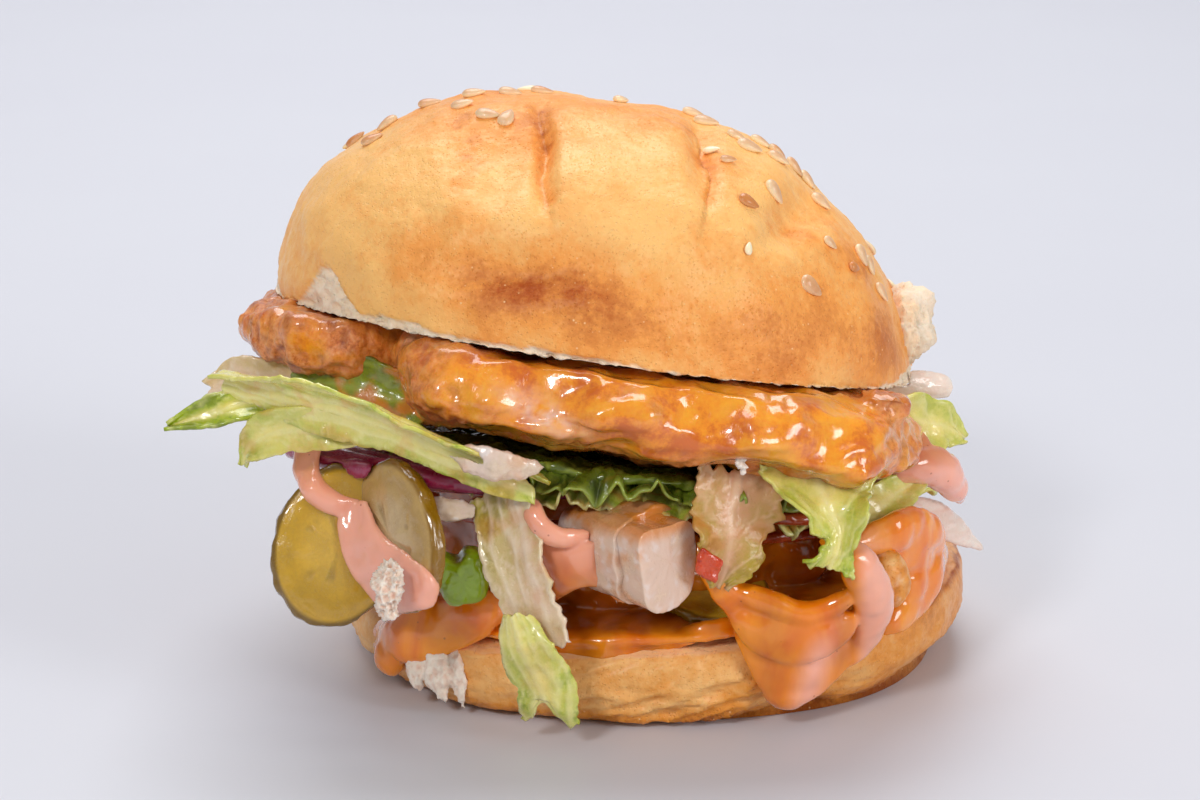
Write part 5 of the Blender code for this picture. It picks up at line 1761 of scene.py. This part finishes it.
    def build(self) -> None:
        """All the vegetables but the lettuce leaves."""
        self.gherkin("pickle_left", (-44, -40.2, 27.2), (0.12, -0.95, 0.26), 12, 9.4, 1.6, 0.30)
        self.gherkin("pickle_leaning", (-34.8, -44.6, 30), (-0.74, -0.64, 0.16), 11.4, 8.8, 1.8, -0.6)
        self.gherkin("pickle_flat", (10.6, -33.8, 17.9), (0.05, -0.30, 0.95), 8, 8, 1.3, 0)
        self.through_slice("onion_slice", Finishes.onion, Slot.RED_ONION, 4.2, (-27, -13))
        self.through_slice("tomato_right", Finishes.tomato, Slot.TOMATO, 17, (15, -12))
        self.through_slice("tomato_slice", Finishes.tomato, Slot.TOMATO, 21, (0, -4))
        self.roll("stem_piece")
        self.chunk("stem_sliver", Finishes.stem, Slot.RIB, 0.22, 0.3)
        self.chunk("stem_under_fillet", Finishes.stem, Slot.RIB, 0.22, 0.3)
        self.chip("pepper_piece", Finishes.pepper, Slot.PEPPER, (-26, -42.4, 23.4), (3.6, 2.6, 4.2), 0.2,
                  3.4, 1.4)
        self.chip("chilli_piece", Finishes.chilli, Slot.CHILLI, (9.2, -50.4, 27.6), (2, 0.6, 2.7), 0.35,
                  1.25, 0)
        self.chunk("onion_sliver_low", Finishes.pale_onion, Slot.PALE_ONION, 0.3, 0.18, (0.4, 0.4, 1.4), 2)
        self.chunk("onion_sliver_high", Finishes.pale_onion, Slot.PALE_ONION, 0.25, 0.18, (0.5, 0.5, 1.4), 2)


@dataclass(frozen=True)
class Drape:
    """Sauce that lies over what carries it, between two edges placed as the photograph shows them.

    Both edges are lines of pixels (px, py), and both run the same way.
    """

    top: tuple[tuple[float, float], ...]
    foot: tuple[tuple[float, float], ...]
    thick: float = 1.3
    sink: float = 0.9
    taut: int = 25
    cells: int = 24

    def pixel(self, u: float, v: float) -> tuple[float, float]:
        """The pixel at u along the edges and v from the top one to the foot."""
        top, foot = curve_at(self.top, u), curve_at(self.foot, u)
        return top[0] + (foot[0] - top[0]) * v, top[1] + (foot[1] - top[1]) * v

    def depths(self, carrier: BVHTree) -> list[list[float]]:
        """How far along each line of sight the sauce lies, drawn taut over the gaps."""
        span = range(self.cells + 1)
        hits = [[carrier.ray_cast(*Camera.ray(*self.pixel(i / self.cells, j / self.cells)))[3]
                 for j in span] for i in span]
        known = [hit for row in hits for hit in row if hit is not None]
        middle = sum(known) / len(known)
        far = [[middle if hit is None else hit for hit in row] for row in hits]
        for _ in range(self.taut):
            far = [[self.eased(far, hits, i, j) for j in span] for i in span]
        return far

    def eased(self, far: list[list[float]], hits: list[list[float | None]], i: int, j: int) -> float:
        """The mean of a cell and its neighbours, but never behind what carries it."""
        last = self.cells
        near = [far[min(last, max(0, i + a))][min(last, max(0, j + b))]
                for a, b in ((0, 0), (1, 0), (-1, 0), (0, 1), (0, -1))]
        mean = sum(near) / len(near)
        return mean if hits[i][j] is None else min(mean, hits[i][j])

    def build(self, carrier: BVHTree) -> Mesh:
        """The sauce as a closed skin.

        Args:
            carrier: the surface that it lies on.

        Returns:
            Its mesh.
        """
        far = self.depths(carrier)

        def square(a: float, b: float) -> float:
            """Spreads a point of a disc to a square: how far it is along the first way."""
            high = max(0, 2 + a * a - b * b + 2 * sqrt(2) * a)
            low = max(0, 2 + a * a - b * b - 2 * sqrt(2) * a)
            return 0.5 + 0.25 * (sqrt(high) - sqrt(low))

        def place(theta: float, phi: float) -> Vector:
            """A point of the sauce's skin."""
            a, b = cos(theta) * cos(phi), sin(theta) * cos(phi)
            u, v = min(1, max(0, square(a, b))), min(1, max(0, square(b, a)))
            start, ray = Camera.ray(*self.pixel(u, v))
            i, j = min(self.cells - 1, int(u * self.cells)), min(self.cells - 1, int(v * self.cells))
            f, g = u * self.cells - i, v * self.cells - j
            depth = (far[i][j] * (1 - f) + far[i + 1][j] * f) * (1 - g)
            depth += (far[i][j + 1] * (1 - f) + far[i + 1][j + 1] * f) * g
            here = start + ray * depth
            swell = self.thick * (1 + lumps(here, 4, 0.6, 2))
            rise = swell * sin(phi) ** 0.6 if phi > 0 else -self.sink * (-sin(phi)) ** 0.6
            return here - ray * rise

        return ball(72, 40, place)


def carrier(*nodes: str) -> BVHTree:
    """The skin of these solids together, for sauce to lie on."""
    bm = joined(cad_copy(node) for node in nodes)
    tree = BVHTree.FromBMesh(bm)
    bm.free()
    return tree


def run_of(*points: tuple[float, float, float, float, float]) -> tuple[tuple[float, ...], ...]:
    """A spine through points (px, py, y, half width, half thickness), placed as the photograph shows."""
    return tuple((*Camera.seen(px, py, y), half, thick) for px, py, y, half, thick in points)


def laid(surface: BVHTree, sunk: float, *points: tuple[float, float, float, float]) -> Mesh:
    """A fat run of sauce that lies on a surface, placed as the photograph shows.

    Args:
        surface: what carries it.
        sunk: how far its middle lies behind the surface, in millimetres.
        points: (px, py, half width, half thickness) along it.

    Returns:
        Its mesh.
    """
    rays = [Camera.ray(px, py) for px, py, _, _ in points]
    hits = [surface.ray_cast(*ray)[3] for ray in rays]
    far = next(hit for hit in hits if hit is not None)
    spine = []
    for (start, ray), hit, (_, _, half, thick) in zip(rays, hits, points):
        far = far if hit is None else hit
        spine.append((*(start + ray * (far + sunk)), half, thick))
    return strand(spine, 0, 36, 48, 2.6)


@dataclass
class Sauces:
    """The thick sauce that runs over the fillings and the heel's edge, and the crumb stuck in it."""

    firm: tuple[str, ...] = ("heel", "pickle_left", "pickle_leaning", "pickle_flat", "onion_slice",
                             "tomato_right", "tomato_slice", "lettuce_bed", "dressing", "fillet")

    def run(self, name: str, nodes: Sequence[str], slot: Slot, pink: Rule, parts: Sequence[Mesh],
            rounds: int = 4, swell: float = 0.3, pooled: Rule | float = 0, cell: float = 0.36) -> None:
        """One run of sauce.

        Args:
            name: the piece's name.
            nodes: the solids that it stands for.
            slot: the record's slot.
            pink: how pink each point is.
            parts: the shapes that melt together into it.
            rounds: how often it is smoothed.
            swell: how uneven its skin is, in millimetres.
            pooled: how dark each point is.
            cell: the size of its faces, in millimetres.
        """
        bm = skinned(joined(parts), cell, rounds)
        carve(bm, lambda point, normal: rough(point, 4, swell, 3, 2) + 0.15)
        for vert in bm.verts:
            vert.co.z = max(0.1, vert.co.z)
        paint(bm, pink=pink, pooled=pooled)
        piece(name, bm, Finishes.sauce, slot, *nodes)

    def build(self) -> None:
        """Every run of sauce and the bread crumb."""
        self.left_side()
        self.middle()
        self.apron()
        self.right_side()
        self.run("back_drip", ("sauce_drip_back",), Slot.ORANGE_SAUCE, lambda point, normal: 0.3,
                 [cad_copy("sauce_drip_back")])
        self.crumb("bread_on_sauce")

    def left_side(self) -> None:
        """The ribbon under the leaf, the smear over the gherkins and the drip over the heel."""
        ribbon = Drape(((296, 446), (294, 468), (300, 490), (317, 507), (342, 517)),
                       ((323, 446), (319, 466), (325, 484), (342, 495), (364, 500)), 1.9, 1.6, 60)
        smear = Drape(((347, 500), (338, 525), (341, 550), (355, 577), (374, 603), (392, 618)),
                      ((366, 500), (380, 530), (402, 550), (424, 567), (438, 586), (434, 606)), 1.5, 0.9, 90)
        under = carrier("pickle_left", "pickle_leaning", "onion_slice", "heel")
        self.run("ribbon_and_smear", ("sauce_ribbon_left", "sauce_on_pickles"), Slot.PINK_SAUCE,
                 lambda point, normal: 0.93 - 0.25 * hump(point.z, 40, 5),
                 [ribbon.build(under), smear.build(under)])
        under = carrier("heel", "sauce_drip_left", "dressing")
        parts = [
            laid(under, 0.9, (518, 614, 3.4, 2.2), (488, 612, 4, 2.6), (456, 622, 3.9, 2.5),
                 (426, 634, 4.2, 2.5), (398, 640, 4, 2.3), (376, 646, 2.4, 1.8)),
            laid(under, 0.9, (384, 640, 3, 2.1), (390, 660, 2.6, 1.9), (395, 676, 1.5, 1.2)),
            laid(under, 0.9, (470, 598, 2, 1.8), (440, 610, 2.4, 1.9), (408, 622, 2.4, 1.9),
                 (374, 632, 1.9, 1.5)),
            laid(under, 0.7, (470, 596, 1.8, 1.6), (492, 584, 2.2, 1.8), (520, 578, 2.2, 1.6)),
        ]
        self.run("left_drip", ("sauce_drip_left",), Slot.ORANGE_SAUCE,
                 lambda point, normal: 0.28 * hump(point.x, -20, 4) - 0.1, parts, rounds=6)

    def middle(self) -> None:
        """The salmon run behind the hanging leaf, and the pool that fills the space over the heel."""
        body = Drape(((527, 500), (545, 530), (575, 544), (600, 540), (622, 548)),
                     ((524, 612), (548, 606), (574, 590), (600, 588), (626, 606)), 1.5, 1, 60)
        lip = strand(run_of((531, 498, -45, 1.1, 1), (535, 516, -47, 1.4, 1.2), (546, 531, -48, 1.6, 1.3),
                            (564, 538, -48, 1.4, 1.2), (590, 534, -46.5, 1, 1)), 0, 24, 24)
        self.run("middle_run", ("sauce_middle",), Slot.PINK_SAUCE, self.middle_pink,
                 [body.build(carrier("sauce_middle", *self.firm)), lip],
                 pooled=lambda point, normal: 0.55 * ease(-point.z, -22, -18))
        self.run("pool", ("dressing",), Slot.ORANGE_SAUCE, lambda point, normal: -0.1, self.pool_parts(),
                 rounds=4, pooled=self.pool_depth, cell=0.48)

    def middle_pink(self, point: Vector, normal: Vector) -> float:
        """Pink at its lip, more orange below."""
        return 0.3 + 0.5 * ease(point.z, 22, 31)

    def pool_parts(self) -> list[Mesh]:
        """The pool on the heel, the soaked filling behind it and the wet edge in front."""

        def pool(theta: float, phi: float) -> Vector:
            """A point of the pool: thin at the heel's rim and thicker inside."""
            spread = abs(cos(phi)) ** 0.5
            reach = superellipse(theta, 44.5, 44, 2.2) + uneven(theta, 6, 0.6)
            x, y = 2 + reach * spread * cos(theta), -0.5 + reach * spread * sin(theta)
            rise = 2.6 * (1 - spread**5) + 0.5 if phi > 0 else -0.5
            return Vector((x, y, heel_top(x, y) + rise))

        def soaked(theta: float, phi: float) -> Vector:
            """A point of the wet mass between the layers."""
            spread = abs(cos(phi)) ** 0.16
            reach = superellipse(theta, 37.5, 34, 2.3) + uneven(theta, 2, 1)
            reach -= 1.6 * toward(theta, -55, 0.35)
            x, y = 1 + reach * spread * cos(theta), -3 + reach * spread * sin(theta)
            point = Vector((x, y, level(x, y, 0.46 + 0.44 * signed_power(sin(phi), 0.5))))
            away = Vector((cos(theta), sin(theta), 0))
            return point + away * (lumps(point, 6, 2.6, 4) + lumps(point, 2.6, 0.8, 1))

        wet_edge = laid(carrier("heel", "dressing"), 0.3, (508, 646, 1.2, 0.8), (560, 650, 1.5, 0.8),
                        (606, 655, 1.5, 0.8), (652, 646, 1.5, 0.8), (712, 628, 1.5, 0.9),
                        (752, 616, 1.3, 0.9))
        return [ball(260, 40, pool), ball(300, 120, soaked), wet_edge]

    def pool_depth(self, point: Vector, normal: Vector) -> float:
        """Dark where the sauce is deep, and lighter where it thins over the rim."""
        out = hypot((point.x - 2) / 44.5, (point.y + 0.5) / 44)
        cloud = rough(point, 7, 0.5, 11, 3)
        return max(0.15, min(0.95, 0.9 - ease(out, 0.93, 1) * 0.7 + cloud - 0.1))

    def apron(self) -> None:
        """The sheet of sauce over the heel in front, with its lip, its arm and its rolled rim."""
        under = carrier("sauce_apron", "sauce_arm", "sauce_rim", "heel")
        sheet = Drape(((722, 584), (745, 588), (772, 596), (800, 606), (828, 599), (852, 580)),
                      ((730, 628), (750, 672), (776, 706), (816, 698), (848, 668), (878, 622)), 0.9, 1.6, 12)
        parts = [
            sheet.build(under),
            strand(run_of((722, 587, -45.6, 1.6, 1.6), (748, 595, -46.2, 1.8, 1.8),
                          (772, 603, -46.4, 1.8, 1.8),
                          (800, 613, -46, 1.8, 1.8), (828, 608, -45.8, 1.9, 1.8), (856, 592, -45.4, 2, 1.8)),
                   0, 36, 48, 2.6),
            strand(run_of((730, 610, -45.2, 3, 2), (758, 623, -45.6, 4, 2.1), (790, 635, -45.4, 4.2, 2.1),
                          (826, 631, -45, 4, 2.1), (858, 616, -43.8, 2.8, 1.9)), 0, 36, 48, 2.6),
            strand(run_of((688, 530, -43, 1, 1), (698, 548, -44.6, 1.5, 1.5), (711, 568, -45.6, 2, 1.8),
                          (725, 590, -45.9, 2.4, 2), (742, 616, -44, 2.8, 1.6)), 0, 36, 36, 2.6),
            strand(run_of((818, 540, -44.6, 1.2, 1.2), (838, 548, -46, 2.2, 1.8), (856, 563, -46.5, 2.9, 2.1),
                          (870, 586, -44.2, 3.2, 2.3), (873, 612, -41.6, 3.2, 2.3), (862, 640, -39.8, 3, 2.1),
                          (842, 668, -40.6, 2.4, 1.7)), 0, 36, 72, 2.6),
            laid(under, 0.8, (764, 668, 1.6, 1.4), (776, 692, 2, 1.6), (796, 694, 2, 1.6),
                 (818, 686, 1.6, 1.4)),
        ]
        self.run("front_run", ("sauce_apron", "sauce_arm", "sauce_rim"), Slot.PINK_SAUCE, self.front_pink,
                 parts, rounds=9,
                 pooled=lambda point, normal: 0.35 * hump(point.x, 18.5, 3.4)
                 + 0.4 * hump(point.x, 28.8, 1.8) * ease(point.z, 6, 12))

    def front_pink(self, point: Vector, normal: Vector) -> float:
        """Pink along the rolled rim and in a smear down the middle, orange at the left."""
        rim = ease(point.x + 0.05 * (point.z - 10), 30, 33)
        smear = hump(point.x, 24.5 + 0.2 * (point.z - 8), 2.6) * (1 - ease(point.z, 12, 19))
        foot = 0.5 * (1 - ease(point.z, 1, 5)) * ease(point.x, 22, 28)
        return min(1, 0.95 * rim + 0.95 * smear + foot - 0.12)

    def right_side(self) -> None:
        """The ribbon that bulges out at the right and the orange run down the heel below it."""
        under = carrier("sauce_ribbon_right")
        parts = [
            laid(under, 1, (860, 486, 1.6, 1.6), (888, 476, 2.2, 2), (914, 466, 2.6, 2.3),
                 (938, 468, 3, 2.5), (955, 486, 2.5, 2.3), (961, 502, 1.6, 1.6)),
            laid(under, 1, (878, 446, 2.2, 1.4), (904, 444, 2.8, 1.6), (930, 450, 2.4, 1.6)),
        ]
        self.run("ribbon_right", ("sauce_ribbon_right",), Slot.PINK_SAUCE,
                 # Towards its top, next to the fillet's underside, the ribbon is painted darker and less
                 # pink.
                 lambda point, normal: 0.95 - 0.5 * ease(point.z, 33, 37), parts, rounds=5,
                 pooled=lambda point, normal: 0.4 * ease(point.z, 33, 37))
        under = carrier("sauce_right", "heel")
        parts = [
            strand(run_of((846, 548, -42, 1.6, 1.4), (872, 540, -38.5, 2.6, 1.9), (900, 530, -34, 3, 2.1),
                          (924, 532, -28.5, 3.4, 2.1), (942, 546, -22.8, 3.4, 2)), 0, 48, 36, 2.6),
            strand(run_of((880, 556, -36.5, 2.6, 1.9), (906, 552, -31.5, 3.4, 2), (930, 562, -26, 3.2, 2)),
                   0, 36, 36, 2.6),
            strand(run_of((908, 562, -31, 3, 1.8), (910, 584, -30.6, 3, 1.8), (900, 606, -32.4, 2.6, 1.6)),
                   0, 36, 36, 2.6),
            laid(under, 0.9, (944, 548, 2.6, 1.8), (932, 568, 3.6, 1.9), (914, 597, 3.4, 1.8),
                 (894, 622, 2.4, 1.5), (880, 637, 1.3, 1.1)),
        ]
        self.run("right_run", ("sauce_right",), Slot.ORANGE_SAUCE,
                 lambda point, normal: 0.4 * ease(-point.y, 36, 42) - 0.1, parts, rounds=6)
        lip = skinned(strand(run_of((872, 558, -39, 2.2, 2), (886, 570, -38, 3.2, 2.6),
                                    (892, 590, -37, 2.8, 2.4), (888, 608, -36.4, 1.2, 1.2)), 0, 36, 36), 0.4)
        carve(lip, lambda point, normal: rough(point, 3, 0.5, 2))
        paint(lip,
              toast=lambda point, _: 0.4 + rough(point, 2.5, 0.4, 7),
              torn=lambda point, _: 0.3 * ease(rough(point, 2, 1, 3), 0.1, 0.5))
        piece("heel_lip", lip, Finishes.heel, Slot.HEEL_CRUST)

    def crumb(self, node: str) -> None:
        """The torn bit of bread that sticks to the sauce."""
        spine = ((-35.2, -53.8, 29.6, 1.6, 1), (-36.2, -54.2, 25.6, 2.6, 1.4), (-36.4, -53.8, 20.4, 1.6, 1.1))
        bm = skinned(strand(spine, 0, 40, 40), 0.22, 1)
        carve(bm, lambda point, normal: rough(point, 2, 0.8, 2) - 1 * (1 - bubbles(point, 1.1)))
        # The crumb is painted darker in its holes, as painted shade.
        paint(bm, hollow=lambda point, _: 0.7 * (1 - bubbles(point, 1.1)))
        piece("stuck_crumb", bm, Finishes.crumb, Slot.CRUMB, node)
        spine = ((13, -50, 44, 0.4, 0.4), (13.5, -50.3, 42.9, 1, 0.6), (13.9, -50, 41.4, 0.4, 0.4))
        bm = strand(spine, 0, 32, 32)
        carve(bm, lambda point, normal: rough(point, 1.1, 0.9, 2) - 0.1)
        paint(bm, hollow=0)
        piece("fillet_fleck", bm, Finishes.crumb, Slot.CRUMB)


@dataclass
class Studio:
    """The pale floor with its rounded back, and the soft lights."""

    reach: float = 1.6
    back: float = 0.62
    bend: float = 0.35
    lights: tuple[tuple[str, Triple, float, float], ...] = (
        ("key", (-0.08, 0.52, 1), 0.75, 8.2),
        ("front_left", (-0.55, -1.1, 0.9), 0.24, 6.5),
        ("front_right", (1, -0.75, 0.5), 0.5, 6.5),
    )

    def build(self) -> None:
        """The floor, the lights and the sky's fill."""
        bm = bmesh.new()
        line = [bm.verts.new((-self.reach, -self.reach, 0)), bm.verts.new((-self.reach, self.back, 0))]
        steps = 12
        for i in range(1, steps + 1):
            turn = pi / 2 * i / steps
            y = self.back + self.bend * sin(turn)
            line.append(bm.verts.new((-self.reach, y, self.bend * (1 - cos(turn)))))
        line.append(bm.verts.new((-self.reach, self.back + self.bend, 1.8)))
        edges = [bm.edges.new(pair) for pair in zip(line, line[1:])]
        grown = bmesh.ops.extrude_edge_only(bm, edges=edges)["geom"]
        moved = [item for item in grown if isinstance(item, bmesh.types.BMVert)]
        bmesh.ops.translate(bm, verts=moved, vec=(2 * self.reach, 0, 0))
        bmesh.ops.recalc_face_normals(bm, faces=bm.faces)
        mesh = bpy.data.meshes.new("floor")
        bm.to_mesh(mesh)
        bm.free()
        mesh.materials.append(Finishes.table.material())
        mesh.shade_smooth()
        floor = bpy.data.objects.new("floor", mesh)
        bpy.context.scene.collection.objects.link(floor)
        for name, place, size, power in self.lights:
            data = bpy.data.lights.new(name, "AREA")
            data.energy, data.size = power, size
            light = bpy.data.objects.new(name, data)
            bpy.context.scene.collection.objects.link(light)
            light.location = place
            light.rotation_mode = "QUATERNION"
            light.rotation_quaternion = (-Vector(place)).to_track_quat("-Z", "Y")
        world = bpy.data.worlds.new("studio")
        world.use_nodes = True
        world.node_tree.nodes["Background"].inputs["Color"].default_value = (1, 0.99, 0.98, 1)
        world.node_tree.nodes["Background"].inputs["Strength"].default_value = 0.36
        bpy.context.scene.world = world
        bpy.context.scene.view_settings.view_transform = "Standard"


def main() -> None:
    """Builds the burger from the bun inwards, then the studio round it."""
    logging.basicConfig(level=logging.INFO, format="%(message)s")
    Camera().build()
    Crown().build()
    Heel().build()
    Chicken().build()
    Salad().build()
    Vegetables().build()
    Sauces().build()
    Studio().build()


if __name__ == "__main__":
    main()
